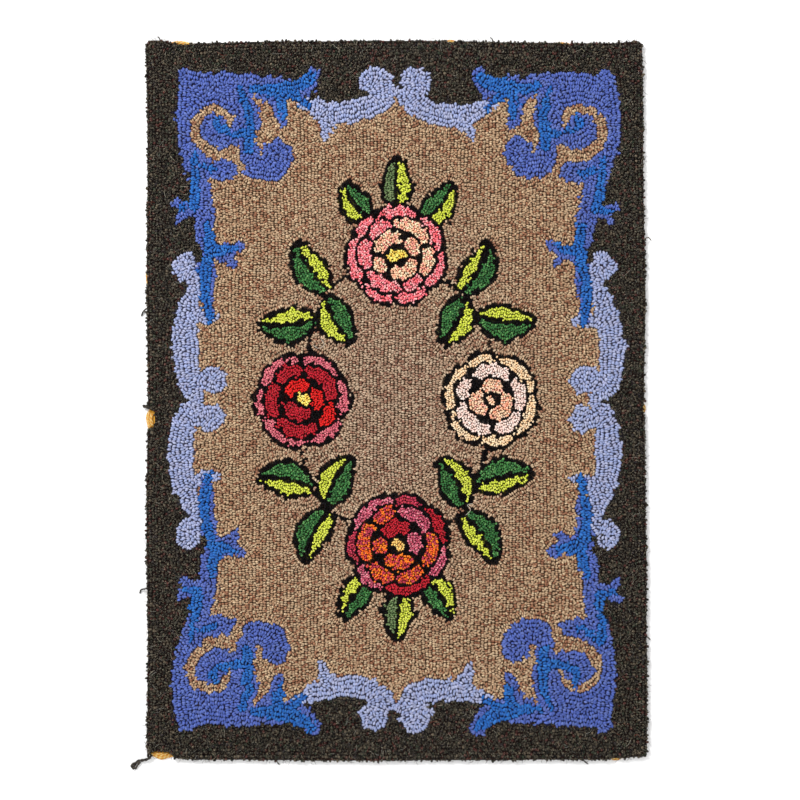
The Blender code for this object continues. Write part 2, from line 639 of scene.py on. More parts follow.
ROSES: tuple[Rose, ...] = (
    Rose(
        0, 184,
        (
            PetalRing(54, 5.2, 10, (Yarn.CORAL,) * 7),
            PetalRing(40, 6.4, 30, (Yarn.SALMON, Yarn.CORAL, Yarn.CORAL, Yarn.CORAL,
                                    Yarn.CORAL, Yarn.SALMON)),
            PetalRing(22, 7.0, 75, (Yarn.SALMON,) * 4),
        ),
        swag((-7, -5), (9, 1), 4, 5, 7, 5),
        Yarn.GOLD,
        ground=50,
    ),
    Rose(
        -120, 0,
        (
            PetalRing(51, 5.0, 35, (Yarn.DUSTY_ROSE,) * 6),
            PetalRing(38, 6.6, 5, (Yarn.CRIMSON, Yarn.CRIMSON, Yarn.CRIMSON, Yarn.CRIMSON,
                                   Yarn.SCARLET)),
            PetalRing(18, 6.4, 60, (Yarn.SCARLET, Yarn.CRIMSON, Yarn.SCARLET)),
        ),
        swag((-2, 3), (5, -2), 2, 6, 5),
        Yarn.LEMON,
    ),
    Rose(
        120, 0,
        (
            PetalRing(51, 5.0, 12, (Yarn.CREAM,) * 6),
            PetalRing(37, 6.4, 50, (Yarn.BLUSH,) * 5),
            PetalRing(17, 7.2, 20, (Yarn.APRICOT,) * 3, 2.5),
        ),
        swag((-3, 3), (3, -3), 0, 4, 4),
        Yarn.APRICOT,
    ),
    Rose(
        2, -184,
        (
            PetalRing(56, 4.9, 0, (Yarn.CRIMSON, Yarn.RASPBERRY, Yarn.HEATHER_PINK,
                                   Yarn.RASPBERRY, Yarn.HEATHER_PINK, Yarn.CRIMSON,
                                   Yarn.HEATHER_PINK)),
            PetalRing(42, 6.8, 25, (Yarn.HEATHER_PINK, Yarn.ORANGE, Yarn.ORANGE, Yarn.ORANGE,
                                    Yarn.ORANGE, Yarn.ORANGE)),
            PetalRing(21, 7.6, 50, (Yarn.CRIMSON, Yarn.ORANGE, Yarn.ORANGE,
                                    Yarn.HEATHER_PINK)),
        ),
        swag((-3, 3), (4, -3), 2, 6, 5),
        Yarn.STRAW,
        ground=50,
    ),
)


LEAF_SWAY = 3.0  # mm that leaves and stems stray from true mirror images


class Half(NamedTuple):
    """One coloured half of a leaf, beside its midrib."""

    yarn: Yarn
    wide: float  # mm, where it is widest
    peak: float  # the share of the leaf's length at which that is
    spur: float = 0.0  # mm that a tooth juts out there


class Leaf(NamedTuple):
    """A leaf in two halves, in mm from the rug's middle; its sides are as seen from its base."""

    base: tuple[float, float]
    tip: tuple[float, float]
    bend: float  # how far the midrib bows to the leaf's left
    left: Half
    right: Half

    def mirrored(self, across: int, up: int) -> "Leaf":
        """Mirrors the leaf into another quarter, a little swayed.

        Args:
            across: -1 to mirror it left and right, or 1.
            up: -1 to mirror it up and down, or 1.

        Returns:
            The other quarter's leaf.
        """
        base, tip = swayed(np.array((self.base, self.tip)) * (across, up), LEAF_SWAY)
        if across * up > 0:
            return Leaf(tuple(base), tuple(tip), self.bend, self.left, self.right)
        return Leaf(tuple(base), tuple(tip), -self.bend, self.right, self.left)


# A crown's middle and side leaf, and a cluster of three, for the upper right quarter.
CROWN_TOP = Leaf((0, 246), (0, 307), 0, Half(Yarn.SAGE, 12, 0.36, 6), Half(Yarn.LIME, 13, 0.40, 5))
CROWN_SIDE = Leaf((38, 228), (68, 274), -4, Half(Yarn.EMERALD, 14, 0.40), Half(Yarn.LIME, 12, 0.32))
CLUSTER = (
    Leaf((84, 142), (120, 202), -5, Half(Yarn.LIME, 13, 0.40, 4), Half(Yarn.EMERALD, 16, 0.48)),
    Leaf((104, 107), (174, 97), -4, Half(Yarn.LIME, 14, 0.42), Half(Yarn.EMERALD, 17, 0.48, 6)),
    Leaf((86, 130), (58, 74), 5, Half(Yarn.LIME, 14, 0.48, 4), Half(Yarn.EMERALD, 17, 0.42)),
)
LEAVES: tuple[Leaf, ...] = (
    CROWN_TOP,
    CROWN_TOP.mirrored(1, -1),
    *(CROWN_SIDE.mirrored(across, up) for across, up in QUARTERS),
    *(leaf.mirrored(across, up) for leaf in CLUSTER for across, up in QUARTERS),
)

STEM_HALF = 2.3
# Black stems that join a cluster to the roses beside it, for the upper right quarter.
STEMS = (
    ((60, 158), (74, 148), (86, 140), (94, 122), (106, 108)),
    ((112, 92), (114, 76), (118, 60)),
)


@dataclass
class LeafWork:
    """The leaves and the black stems that join their clusters to the roses.

    Attributes:
        rib: half the width of the black midrib, in mm.
        rim: how wide the black shows round a leaf, in mm.
        flesh: how much wider than its table says each half is painted.
    """

    rib: float = 2.8
    rim: float = 4.8
    flesh: float = 1.14

    def at(self, leaf: Leaf, share: Array, offset: Array) -> Array:
        """Finds places on a leaf.

        Args:
            leaf: the leaf.
            share: shares of its length, from its base.
            offset: distances from the midrib, to its left, in mm.

        Returns:
            Rows of x and y, in mm.
        """
        base, tip = np.array(leaf.base, float), np.array(leaf.tip, float)
        along = tip - base
        left = np.array((-along[1], along[0])) / np.hypot(*along)
        bow = leaf.bend * 4.0 * share * (1.0 - share)
        return base + np.outer(share, along) + np.outer(bow + offset, left)

    def half_path(self, leaf: Leaf, half: Half, side: int) -> Array:
        """Works out one coloured half of a leaf.

        Args:
            leaf: the leaf.
            half: the half.
            side: 1 for the leaf's left half, -1 for its right.

        Returns:
            Rows of x, y and half width, in metres.
        """
        share = np.linspace(0.05, 0.95, 26)
        peak = half.peak
        wide = np.interp(
            share,
            (0.05, peak * 0.5, peak, (peak + 1) / 2, 0.95),
            (0.30, 0.72, 1.0, 0.62, 0.16),
        ) * half.wide * self.flesh
        places = self.at(leaf, share, side * (self.rib + wide / 2.0))
        return np.column_stack([places, wide / 2.0]) * MM

    def spur(self, leaf: Leaf, half: Half, side: int) -> Array:
        """Returns the rows of x, y and half width of a half's tooth, in metres."""
        share = np.array((half.peak - 0.04, half.peak + 0.07))
        offset = np.array((half.wide * 0.7, half.wide + half.spur))
        places = self.at(leaf, share, side * (self.rib + offset))
        return smooth_path(np.column_stack([places, (4.6, 1.6)]) * MM)

    def paint(self, chart: Chart) -> None:
        """Paints the stems and the leaves.

        Args:
            chart: the chart, with its field already painted.
        """
        for stem in STEMS:
            for quarter in QUARTERS:
                places = swayed(np.array(stem) * quarter, LEAF_SWAY)
                rows = np.column_stack([places, np.full(len(places), STEM_HALF)])
                chart.stroke(smooth_path(rows * MM), Yarn.BLACK)
        halves = [(leaf, half, side) for leaf in LEAVES
                  for half, side in ((leaf.left, 1), (leaf.right, -1))]
        for leaf in LEAVES:
            share = np.linspace(0.0, 1.0, 20)
            places = self.at(leaf, share, np.zeros(20))
            rows = np.column_stack([places, np.interp(share, (0, 0.5, 1), (4.0, 6.0, 4.4))])
            chart.stroke(rows * MM, Yarn.BLACK)
        for leaf, half, side in halves:
            chart.stroke(self.half_path(leaf, half, side), Yarn.BLACK, self.rim * MM)
            if half.spur:
                chart.stroke(self.spur(leaf, half, side), Yarn.BLACK, 2.0 * MM)
        for leaf, half, side in halves:
            chart.stroke(self.half_path(leaf, half, side), half.yarn)
            if half.spur > 4.5:
                chart.stroke(self.spur(leaf, half, side), half.yarn, -1.6 * MM)


# ---- hooking


@dataclass(frozen=True)
class Hooking:
    """How one kind of patch is hooked. Sizes are in mm, angles in degrees.

    Attributes:
        pitch: between rows.
        spacing: between loops along a row.
        length: of a loop, across its row.
        width: of a loop, along its row.
        top: the highest loops' height above the floor.
        dip: how much lower the lowest are.
        lean: how far a loop may lean.
        turn: how far a loop may turn from its row.
        slot: the material slot its loops take their finish from.
    """

    pitch: float
    spacing: float
    length: float
    width: float
    top: float
    dip: float
    lean: float
    turn: float
    slot: str


class Patch(Enum):
    """The kinds of patch, and how each is hooked."""

    BLOOM = Hooking(3.3, 2.5, 3.6, 2.7, 8.1, 0.8, 7, 18, "flower_wool")
    LEAF = Hooking(3.4, 2.5, 3.7, 2.7, 8.0, 0.8, 7, 18, "leaf_wool")
    OUTLINE = Hooking(3.3, 2.7, 3.6, 2.9, 7.7, 0.8, 8, 26, "outline_wool")
    SCROLL = Hooking(5.1, 3.0, 6.2, 3.6, 8.3, 1.2, 9, 36, "scroll_wool")
    FIELD = Hooking(4.4, 2.9, 4.9, 3.1, 7.9, 1.0, 9, 30, "field_wool")
    BORDER = Hooking(3.9, 3.2, 4.3, 3.5, 8.1, 1.8, 18, 50, "border_wool")


PATCHES: dict[int, Patch | None] = {int(yarn): Patch.BLOOM for yarn in Yarn}
PATCHES |= {int(Yarn.NONE): None, int(Yarn.CHARCOAL): Patch.BORDER}
PATCHES |= {int(Yarn.TWEED): Patch.FIELD, int(Yarn.BLACK): Patch.OUTLINE}
PATCHES |= dict.fromkeys((int(Yarn.PERIWINKLE), int(Yarn.AZURE), int(Yarn.SKY)), Patch.SCROLL)
PATCHES |= dict.fromkeys((int(Yarn.LIME), int(Yarn.EMERALD), int(Yarn.SAGE)), Patch.LEAF)


def contours(field_grid: Array, level: float) -> list[Array]:
    """Traces the lines on which a grid's values cross a level.

    Args:
        field_grid: the values.
        level: the level.

    Returns:
        The lines, each as rows of fractional (column, row) pairs.
    """
    above = field_grid > level
    columns = above.shape[1]
    across = above[:, 1:] != above[:, :-1]
    down = above[1:] != above[:-1]
    sides = np.stack([across[:-1], down[:, :-1], across[1:], down[:, 1:]], axis=-1)
    rows_at, columns_at = np.nonzero(sides.any(axis=-1))
    crossed = sides[rows_at, columns_at]
    corner = rows_at * columns + columns_at
    keys = np.stack(
        [corner * 2, corner * 2 + 1, (corner + columns) * 2, (corner + 1) * 2 + 1], axis=-1
    )
    single = crossed.sum(axis=-1) == 2
    pairs = [keys[single][crossed[single]].reshape(-1, 2)]
    pairs += [keys[~single][:, :2], keys[~single][:, 2:]]
    links: dict[int, list[int]] = {}
    for one, other in np.vstack(pairs).tolist():
        links.setdefault(one, []).append(other)
        links.setdefault(other, []).append(one)
    ends = [key for key, joined in links.items() if len(joined) == 1]
    traced = []
    for start in ends + list(links):
        here, line = start, [start]
        while links.get(here):
            following = links[here].pop()
            links[following].remove(here)
            line.append(following)
            here = following
        if len(line) <= 2:
            continue
        keys_along = np.array(line)
        row, column = np.divmod(keys_along // 2, columns)
        upright = keys_along % 2 == 1
        first = field_grid[row, column]
        second = field_grid[row + upright, column + ~upright]
        share = (level - first) / (second - first)
        traced.append(
            np.stack([column + np.where(upright, 0, share), row + np.where(upright, share, 0)], 1)
        )
    return traced


def spaced(line: Array, gap: float) -> Array:
    """Picks places at even distances along a line.

    Args:
        line: the line's (x, y) points.
        gap: about how far apart the places are.

    Returns:
        The places, half a gap in from each end.
    """
    steps = np.hypot(*np.diff(line, axis=0).T)
    run = np.concatenate([[0.0], np.cumsum(steps)])
    count = round(run[-1] / gap)
    if not count:
        return np.empty((0, 2))
    at = (np.arange(count) + 0.5) * run[-1] / count
    return np.stack([np.interp(at, run, line[:, axis]) for axis in (0, 1)], axis=1)


# The four neighbours of a cell: the way to roll a grid, and the axis.
SIDES = ((1, 0), (-1, 0), (1, 1), (-1, 1))
TURN_STEP = 15  # degrees between the turns at which a loop's room is worked out
LOOP_REACH = 7  # cells, more than half the longest loop


class LoopSpot(NamedTuple):
    """One loop of the pile."""

    x: float
    y: float
    across: float  # angle of its long axis
    yarn: int
    strand: int  # the row it was hooked in, or a number of its own


@dataclass
class Hooker:
    """Lays loops over the chart, in rows that follow the edges of each patch, then fills in.

    Attributes:
        chart: the painted chart.
        rng: the source of all small irregularities.
        echo_rows: how many rows of the field follow its edge, before the rows run straight.
        crowding: the share of a loop's room that may be taken already.
        crowding_in_gap: the same for the loops that fill the gaps.
        deepest: the depth past which cells of a patch count as equally deep.
        slack: how much a loop's turn varies, as a share of its kind's.
        slip: how far a loop slips along its row, as a share of the spacing.
        spots: the loops hooked so far.
    """

    chart: Chart
    rng: Rng
    echo_rows: int = 2
    crowding: float = 0.30
    crowding_in_gap: float = 0.42
    deepest: float = 34 * MM
    slack: float = 0.42
    slip: float = 0.14
    spots: list[LoopSpot] = field(default_factory=list)

    def __post_init__(self) -> None:
        """Works out each cell's depth within its patch and the way across the rows there."""
        yarns = self.chart.yarns.astype(np.int16)
        edge = np.zeros(yarns.shape, bool)
        for way, axis in SIDES:
            edge |= np.roll(yarns, way, axis) != yarns
        edge |= yarns == 0
        deepest = round(self.deepest / self.chart.cell)
        self.depth = softened(distance_inside(~edge, deepest) + 0.5, 2) * self.chart.cell
        rise_y, rise_x = np.gradient(self.depth)
        double_cos = softened(rise_x**2 - rise_y**2, 5)
        double_sin = softened(2 * rise_x * rise_y, 5)
        self.across = 0.5 * np.arctan2(double_sin, double_cos)
        self.taken = yarns == 0
        self.room: dict[tuple[Patch, int], tuple[Array, Array]] = {}
        self.strands = 0

    def cell_at(self, x: float, y: float) -> tuple[int, int]:
        """Returns the row and the column of the cell at a place."""
        rows, columns = self.chart.cells_at(np.array([[x, y]]))
        return int(rows[0]), int(columns[0])

    def footprint(self, patch: Patch, across: float) -> tuple[Array, Array]:
        """Finds the cells that a loop covers, counted from its own cell.

        Args:
            patch: the kind of patch.
            across: the angle of its long axis.

        Returns:
            Steps along the rows and the columns of the chart.
        """
        key = (patch, round(math.degrees(across) / TURN_STEP) % (180 // TURN_STEP))
        if key not in self.room:
            down, side = np.mgrid[-LOOP_REACH : LOOP_REACH + 1, -LOOP_REACH : LOOP_REACH + 1]
            angle = math.radians(key[1] * TURN_STEP)
            along = (side * math.cos(angle) + down * math.sin(angle)) * self.chart.cell
            aside = (down * math.cos(angle) - side * math.sin(angle)) * self.chart.cell
            long_half = patch.value.length * 0.46 * MM
            wide_half = patch.value.width * 0.44 * MM
            covered = (along / long_half) ** 2 + (aside / wide_half) ** 2 <= 1.0
            self.room[key] = (down[covered], side[covered])
        return self.room[key]

    def hook(self, x: float, y: float, across: float, strand: int, crowding: float) -> bool:
        """Hooks a loop if there is room for it.

        Args:
            x: the loop's place.
            y: the loop's place.
            across: the angle of its long axis.
            strand: the row that it belongs to.
            crowding: the share of its room that may be taken already.

        Returns:
            Whether the loop was hooked.
        """
        row, column = self.cell_at(x, y)
        yarn = int(self.chart.yarns[row, column])
        if not yarn:
            return False
        down, side = self.footprint(PATCHES[yarn], across)
        covered = (
            np.clip(row + down, 0, self.taken.shape[0] - 1),
            np.clip(column + side, 0, self.taken.shape[1] - 1),
        )
        if self.taken[covered].mean() > crowding:
            return False
        self.taken[covered] = True
        self.spots.append(LoopSpot(x, y, across, yarn, strand))
        return True

    def hook_row(self, line: Array, patch: Patch, straight: float | None = None) -> None:
        """Hooks loops along a line, except where it leaves the patches of its kind.

        Args:
            line: the line's (x, y) points.
            patch: the kind of patch that the row belongs to.
            straight: the angle across a straight row. Others take theirs from the chart.
        """
        hooking = patch.value
        self.strands += 1
        for x, y in spaced(line, hooking.spacing * MM):
            row, column = self.cell_at(x, y)
            if PATCHES[int(self.chart.yarns[row, column])] is not patch:
                continue
            across = self.across[row, column] if straight is None else straight
            across += math.radians(hooking.turn) * self.rng.normal(0.0, self.slack)
            slip = self.rng.normal(0.0, self.slip, 2) * hooking.spacing * MM
            self.hook(x + slip[0], y + slip[1], across, self.strands, self.crowding)

    def hook_echoes(self, patch: Patch, rows: int) -> None:
        """Hooks the rows that run side by side with the edges of the patches of one kind."""
        pitch = patch.value.pitch * MM
        numbers = [int(yarn) for yarn in Yarn if yarn and PATCHES[int(yarn)] is patch]
        depth = np.where(np.isin(self.chart.yarns, numbers), self.depth, 0.0)
        for row in range(rows):
            for line in contours(depth, (row + 0.5) * pitch):
                if len(line) * self.chart.cell > pitch:
                    self.hook_row(self.chart.place(softened_line(line)), patch)

    def hook_straight(self, patch: Patch, from_depth: float) -> None:
        """Hooks rows along Y across what is left of a patch.

        Args:
            patch: the kind of patch.
            from_depth: how deep within the patch the rows begin.
        """
        pitch = patch.value.pitch * MM
        left, right = self.chart.low[0], self.chart.high[0]
        y = np.arange(self.chart.low[1], self.chart.high[1], 1.5 * MM)
        phase = self.rng.uniform(0.0, 6.0, 3)
        for number, x in enumerate(np.arange(left, right, pitch)):
            drift = 0.9 * np.sin(y * 21 + phase[0] + x * 9) + 0.6 * np.sin(y * 57 + phase[1])
            drift += 0.25 * np.sin(y * 140 + number * 2.1)
            line = np.stack([x + drift * MM, y], axis=1)
            inside = self.chart.under(self.depth, line) > from_depth
            yarns = self.chart.under(self.chart.yarns, line)
            inside &= np.array([PATCHES[int(yarn)] is patch for yarn in yarns])
            cuts = np.flatnonzero(np.diff(inside.astype(int))) + 1
            for run in np.split(np.arange(len(line)), cuts):
                if len(run) > 2 and inside[run[0]]:
                    self.hook_row(line[run], patch, 0.0)

    def fill_in(self, passes: int = 3, smallest: float = 1.0 * MM) -> None:
        """Hooks a loop in each gap that is left.

        Args:
            passes: how often the gaps are looked for.
            smallest: the least distance from a gap's middle to its rim.
        """
        for _ in range(passes):
            gap = distance_inside(~self.taken, LOOP_REACH)
            middle = gap * self.chart.cell > smallest
            for way, axis in SIDES:
                middle &= gap >= np.roll(gap, way, axis)
            rows, columns = np.nonzero(middle)
            order = np.argsort(-gap[rows, columns], kind="stable")
            for row, column in zip(rows[order], columns[order]):
                x, y = self.chart.place(np.array((column, row)))
                self.strands += 1
                hooking = PATCHES[int(self.chart.yarns[row, column])].value
                across = self.across[row, column]
                across += math.radians(hooking.turn) * self.rng.normal(0.0, self.slack)
                self.hook(x, y, across, self.strands, self.crowding_in_gap)

    def hook_all(self) -> None:
        """Hooks the whole pile, the smallest patches first."""
        for patch, rows in (
            (Patch.BLOOM, 4),
            (Patch.LEAF, 3),
            (Patch.OUTLINE, 2),
            (Patch.SCROLL, 4),
            (Patch.BORDER, 9),
            (Patch.FIELD, self.echo_rows),
        ):
            self.hook_echoes(patch, rows)
        self.hook_straight(Patch.FIELD, self.echo_rows * Patch.FIELD.value.pitch * MM)
        self.fill_in()


def softened_line(line: Array, passes: int = 3) -> Array:
    """Evens out a traced line, whose ends stay where they are."""
    soft = line.copy()
    for _ in range(passes):
        soft[1:-1] = (soft[:-2] + 2 * soft[1:-1] + soft[2:]) / 4
    return soft


# ---- finishes


def add_node(tree: Tree, kind: str, inputs: dict | None = None, **settings):
    """Adds a node to a tree.

    Args:
        tree: the node tree.
        kind: the node's type.
        inputs: values or sockets for its inputs, by name or number.
        settings: its properties.

    Returns:
        The node.
    """
    node = tree.nodes.new(kind)
    for name, value in settings.items():
        setattr(node, name, value)
    for name, value in (inputs or {}).items():
        if isinstance(value, bpy.types.NodeSocket):
            tree.links.new(value, node.inputs[name])
        else:
            node.inputs[name].default_value = value
    return node


def calc(tree: Tree, operation: str, *values, clamp: bool = False):
    """Adds a maths node and returns its result."""
    node = add_node(
        tree, "ShaderNodeMath", dict(enumerate(values)), operation=operation, use_clamp=clamp
    )
    return node.outputs[0]


def blended(tree: Tree, factor, first, second, kind: str = "MIX"):
    """Adds a colour mixing node.

    Args:
        tree: the node tree.
        factor: how much of the second is mixed in.
        first: the first colour.
        second: the second colour.
        kind: the way they are blended.

    Returns:
        The mixed colour.
    """
    node = add_node(tree, "ShaderNodeMix", {0: factor, 6: first, 7: second},
                    data_type="RGBA", blend_type=kind)
    return node.outputs[2]


def eased(tree: Tree, value, low, high, to: tuple) -> bpy.types.NodeSocket:
    """Adds a node that maps a range of values onto another, with eased ends."""
    ends = {0: value, 1: low, 2: high, 3: to[0], 4: to[1]}
    return add_node(tree, "ShaderNodeMapRange", ends, interpolation_type="SMOOTHSTEP").outputs[0]


def grey(tree: Tree, light: bpy.types.NodeSocket) -> bpy.types.NodeSocket:
    """Returns a grey as bright as a value."""
    return add_node(tree, "ShaderNodeCombineColor", dict.fromkeys(range(3), light)).outputs[0]


def new_group(name: str, inputs: dict[str, str], outputs: dict[str, str]):
    """Starts a shader node group with named sockets.

    Args:
        name: the group's name.
        inputs: its inputs' names and kinds (Float, Color or Vector).
        outputs: its outputs' names and kinds.

    Returns:
        The group's tree, its input node and its output node.
    """
    tree = bpy.data.node_groups.new(name, "ShaderNodeTree")
    for sockets, way in ((inputs, "INPUT"), (outputs, "OUTPUT")):
        for label, kind in sockets.items():
            tree.interface.new_socket(label, in_out=way, socket_type=f"NodeSocket{kind}")
    return tree, tree.nodes.new("NodeGroupInput"), tree.nodes.new("NodeGroupOutput")


def new_material(name: str, roughness: float, specular: float = 0.5):
    """Starts a material.

    Args:
        name: its name.
        roughness: how matt it is.
        specular: how strong its highlights are.

    Returns:
        The material, its node tree and its shader.
    """
    material = bpy.data.materials.new(name)
    material.use_nodes = True
    shader = material.node_tree.nodes["Principled BSDF"]
    shader.inputs["Roughness"].default_value = roughness
    shader.inputs["Specular IOR Level"].default_value = specular
    return material, material.node_tree, shader


def finish_with(tree: Tree, shader: bpy.types.Node, colour, height, bump: float) -> None:
    """Gives a shader a colour and a height that stands out by a share."""
    stands = {"Strength": bump, "Distance": 0.5 * MM, "Height": height}
    relief = add_node(tree, "ShaderNodeBump", stands)
    tree.links.new(colour, shader.inputs["Base Color"])
    tree.links.new(relief.outputs["Normal"], shader.inputs["Normal"])


def spun_wool_group() -> Tree:
    """Builds the shared look of spun wool.

    Its inputs are the dyed tone, the colour and share of odd fibres, and the heights between
    which painted shade on the pile goes from its darkest to none. It puts out a colour, with
    painted shade at the loops' roots and in the twist's grooves, and a height for bump.

    Returns:
        The node group.
    """
    tree, given, result = new_group(
        "Spun wool",
        {"Tone": "Color", "Fleck": "Color", "Fleck share": "Float", "Root": "Float",
         "Tip": "Float", "Root shade": "Float"},
        {"Color": "Color", "Height": "Float"},
    )
    place = add_node(tree, "ShaderNodeTexCoord").outputs["Object"]
    fibres = add_node(tree, "ShaderNodeTexNoise",
                      {"Vector": place, "Scale": 1500.0, "Detail": 2.0, "Roughness": 0.6})
    heather = add_node(tree, "ShaderNodeTexNoise",
                       {"Vector": place, "Scale": 620.0, "Detail": 1.0})
    odd = add_node(tree, "ShaderNodeTexNoise",
                   {"Vector": place, "Scale": 1250.0, "Detail": 1.0, "Distortion": 1.0})
    ply = add_node(tree, "ShaderNodeUVMap", uv_map="Ply").outputs["UV"]
    twist = add_node(tree, "ShaderNodeTexWave",
                     {"Vector": ply, "Scale": 1.25, "Distortion": 0.6, "Detail": 1.0},
                     wave_type="BANDS", bands_direction="DIAGONAL")
    # light: the fibres' and the heather's own uneven tone, times the painted shade below
    light = calc(tree, "ADD", calc(tree, "MULTIPLY", fibres.outputs[0], 0.55), 0.72)
    light = calc(tree, "MULTIPLY", light, calc(tree, "ADD", 0.82, calc(
        tree, "MULTIPLY", heather.outputs[0], 0.36)))
    # painted shade: darker along the grooves between the twisted plies
    groove = eased(tree, twist.outputs["Fac"], 0.0, 0.40, (0.74, 1.0))
    light = calc(tree, "MULTIPLY", light, groove)
    # painted shade: the pile is darkened towards the loops' roots, where the gaps between loops are
    # shaded
    height = add_node(tree, "ShaderNodeSeparateXYZ", {0: place}).outputs[2]
    rise = eased(tree, height, given.outputs["Root"], given.outputs["Tip"],
                 (given.outputs["Root shade"], 1.0))
    light = calc(tree, "MULTIPLY", light, rise)
    edge = calc(tree, "SUBTRACT", 0.78, calc(tree, "MULTIPLY", given.outputs["Fleck share"], 0.5))
    here = calc(tree, "GREATER_THAN", odd.outputs[0], edge)
    mixed = blended(tree, calc(tree, "MULTIPLY", here, 0.8), given.outputs["Tone"],
                    given.outputs["Fleck"])
    colour = blended(tree, 1.0, mixed, grey(tree, light), "MULTIPLY")
    bump = calc(tree, "ADD", calc(tree, "MULTIPLY", twist.outputs["Fac"], 0.6),
                calc(tree, "MULTIPLY", fibres.outputs[0], 0.7))
    tree.links.new(colour, result.inputs["Color"])
    tree.links.new(bump, result.inputs["Height"])
    return tree


@dataclass(frozen=True)
class Wool:
    """A matt wool finish over the dyed tone that each loop keeps.

    Attributes:
        name: the material's name.
        fleck: hex colour of the odd fibres.
        fleck_share: how many odd fibres show, 0 to 1.
        root: the height at which the painted shade on the pile is darkest.
        tip: the height at which that painted shade ends and the pile shows its full colour.
        root_shade: the brightness that the painted shade leaves at the root.
        bump: how strong the yarn's twist stands out.
        sheen: how much of the light its fuzz catches.
    """

    name: str
    fleck: str
    fleck_share: float = 0.12
    root: float = 3.9 * MM
    tip: float = 6.6 * MM
    root_shade: float = 0.30
    bump: float = 0.8
    sheen: float = 0.08

    def material(self, wool: Tree) -> bpy.types.Material:
        """Builds the material.

        Args:
            wool: the node group for spun wool.

        Returns:
            The material.
        """
        material, tree, shader = new_material(self.name, 0.95, 0.06)
        shader.inputs["Sheen Weight"].default_value = self.sheen
        shader.inputs["Sheen Roughness"].default_value = 0.6
        tone = add_node(tree, "ShaderNodeAttribute", attribute_name="tone").outputs["Color"]
        spun = add_node(tree, "ShaderNodeGroup", node_tree=wool)
        tree.links.new(tone, spun.inputs["Tone"])
        spun.inputs["Fleck"].default_value = (*linear(self.fleck), 1.0)
        spun.inputs["Fleck share"].default_value = self.fleck_share
        spun.inputs["Root"].default_value = self.root
        spun.inputs["Tip"].default_value = self.tip
        spun.inputs["Root shade"].default_value = self.root_shade
        finish_with(tree, shader, spun.outputs["Color"], spun.outputs["Height"], self.bump)
        return material


def weave_group() -> Tree:
    """Builds the shared look of burlap: a plain weave of uneven threads.

    Returns:
        The node group, which puts out a brightness that holds painted shade between the threads and
        their own uneven tone, and a height.
    """
    tree, given, result = new_group(
        "Burlap weave", {"Threads": "Float"}, {"Light": "Float", "Height": "Float"}
    )
    place = add_node(tree, "ShaderNodeTexCoord").outputs["Object"]
    uneven = add_node(tree, "ShaderNodeTexNoise", {"Vector": place, "Scale": 130.0}).outputs[0]
    axes = add_node(tree, "ShaderNodeSeparateXYZ", {0: place})
    wobble = calc(tree, "MULTIPLY", calc(tree, "SUBTRACT", uneven, 0.5), 2.2)
    waves = []
    for axis in (0, 1):
        phase = calc(tree, "MULTIPLY", axes.outputs[axis], given.outputs["Threads"])
        waves.append(calc(tree, "ADD", phase, wobble))
    ridges = [calc(tree, "ABSOLUTE", calc(tree, "SINE", wave)) for wave in waves]
    over = calc(tree, "MULTIPLY", calc(tree, "SINE", waves[0]), calc(tree, "SINE", waves[1]))
    upper = calc(tree, "GREATER_THAN", over, 0.0)
    height = add_node(tree, "ShaderNodeMix", {0: upper, 2: ridges[0], 3: ridges[1]})
    fibre = add_node(tree, "ShaderNodeTexNoise",
                     {"Vector": place, "Scale": 1800.0, "Detail": 2.0}).outputs[0]
    # painted shade: the weave is darker where its threads dip, between them; the fibre noise is
    # their own uneven tone
    light = calc(tree, "ADD", 0.42, calc(tree, "MULTIPLY", height.outputs[0], 0.5))
    light = calc(tree, "ADD", light, calc(tree, "MULTIPLY", fibre, 0.25))
    tree.links.new(light, result.inputs["Light"])
    tree.links.new(height.outputs[0], result.inputs["Height"])
    return tree


@dataclass(frozen=True)
class Burlap:
    """Golden burlap, with the flat backs of the stitches on its underside.

    Attributes:
        name: the material's name.
        gold: hex colour of the threads.
        thread: from one thread to the next.
    """

    name: str = "golden burlap"
    gold: str = "e9a93c"
    thread: float = 1.5 * MM

    def material(self, weave: Tree) -> bpy.types.Material:
        """Builds the material, which takes its colour from the attribute "tone".

        Args:
            weave: the node group for burlap.

        Returns:
            The material.
        """
        material, tree, shader = new_material(self.name, 0.9, 0.2)
        woven = add_node(tree, "ShaderNodeGroup", node_tree=weave)
        woven.inputs["Threads"].default_value = math.pi / self.thread
        tone = add_node(tree, "ShaderNodeAttribute", attribute_name="tone").outputs["Color"]
        # the weave's brightness carries painted shade between the threads
        colour = blended(tree, 1.0, tone, grey(tree, woven.outputs["Light"]), "MULTIPLY")
        finish_with(tree, shader, colour, woven.outputs["Height"], 0.7)
        return material


@dataclass
class FinishBook:
    """The rug's finishes, each built once.

    Attributes:
        made: the materials, by the name of their slot.
    """

    made: dict[str, bpy.types.Material] = field(default_factory=dict)

    def __post_init__(self) -> None:
        """Builds the node groups and the materials."""
        wool, weave = spun_wool_group(), weave_group()
        for slot, finish in {
            # root_shade sets how dark the painted shade at the loops' roots is, darkest on field
            # and border
            "field_wool": Wool("field wool", "5e2412", 0.42, root_shade=0.16),
            "border_wool": Wool("border wool", "b3a58c", 0.26, root_shade=0.14, sheen=0.02),
            "scroll_wool": Wool("scroll wool", "a9b4ee", 0.05),
            "flower_wool": Wool("flower wool", "f6dcc8", 0.06),
            "leaf_wool": Wool("leaf wool", "d8e08c", 0.05),
            "outline_wool": Wool("outline wool", "4c4744", 0.10, sheen=0.0),
            "tail": Wool("tail wool", "a3957c", 0.20, root=-0.02, tip=-0.01),
            "thread": Wool("golden thread", "f6dc94", 0.30, root=-0.02, tip=-0.01),
        }.items():
            self.made[slot] = finish.material(wool)
        self.made["burlap"] = Burlap().material(weave)

    def dress(self, piece: Piece, slot: str) -> None:
        """Gives a piece the finish of a slot."""
        piece.data.materials.clear()
        piece.data.materials.append(self.made[slot])


# ---- shapes


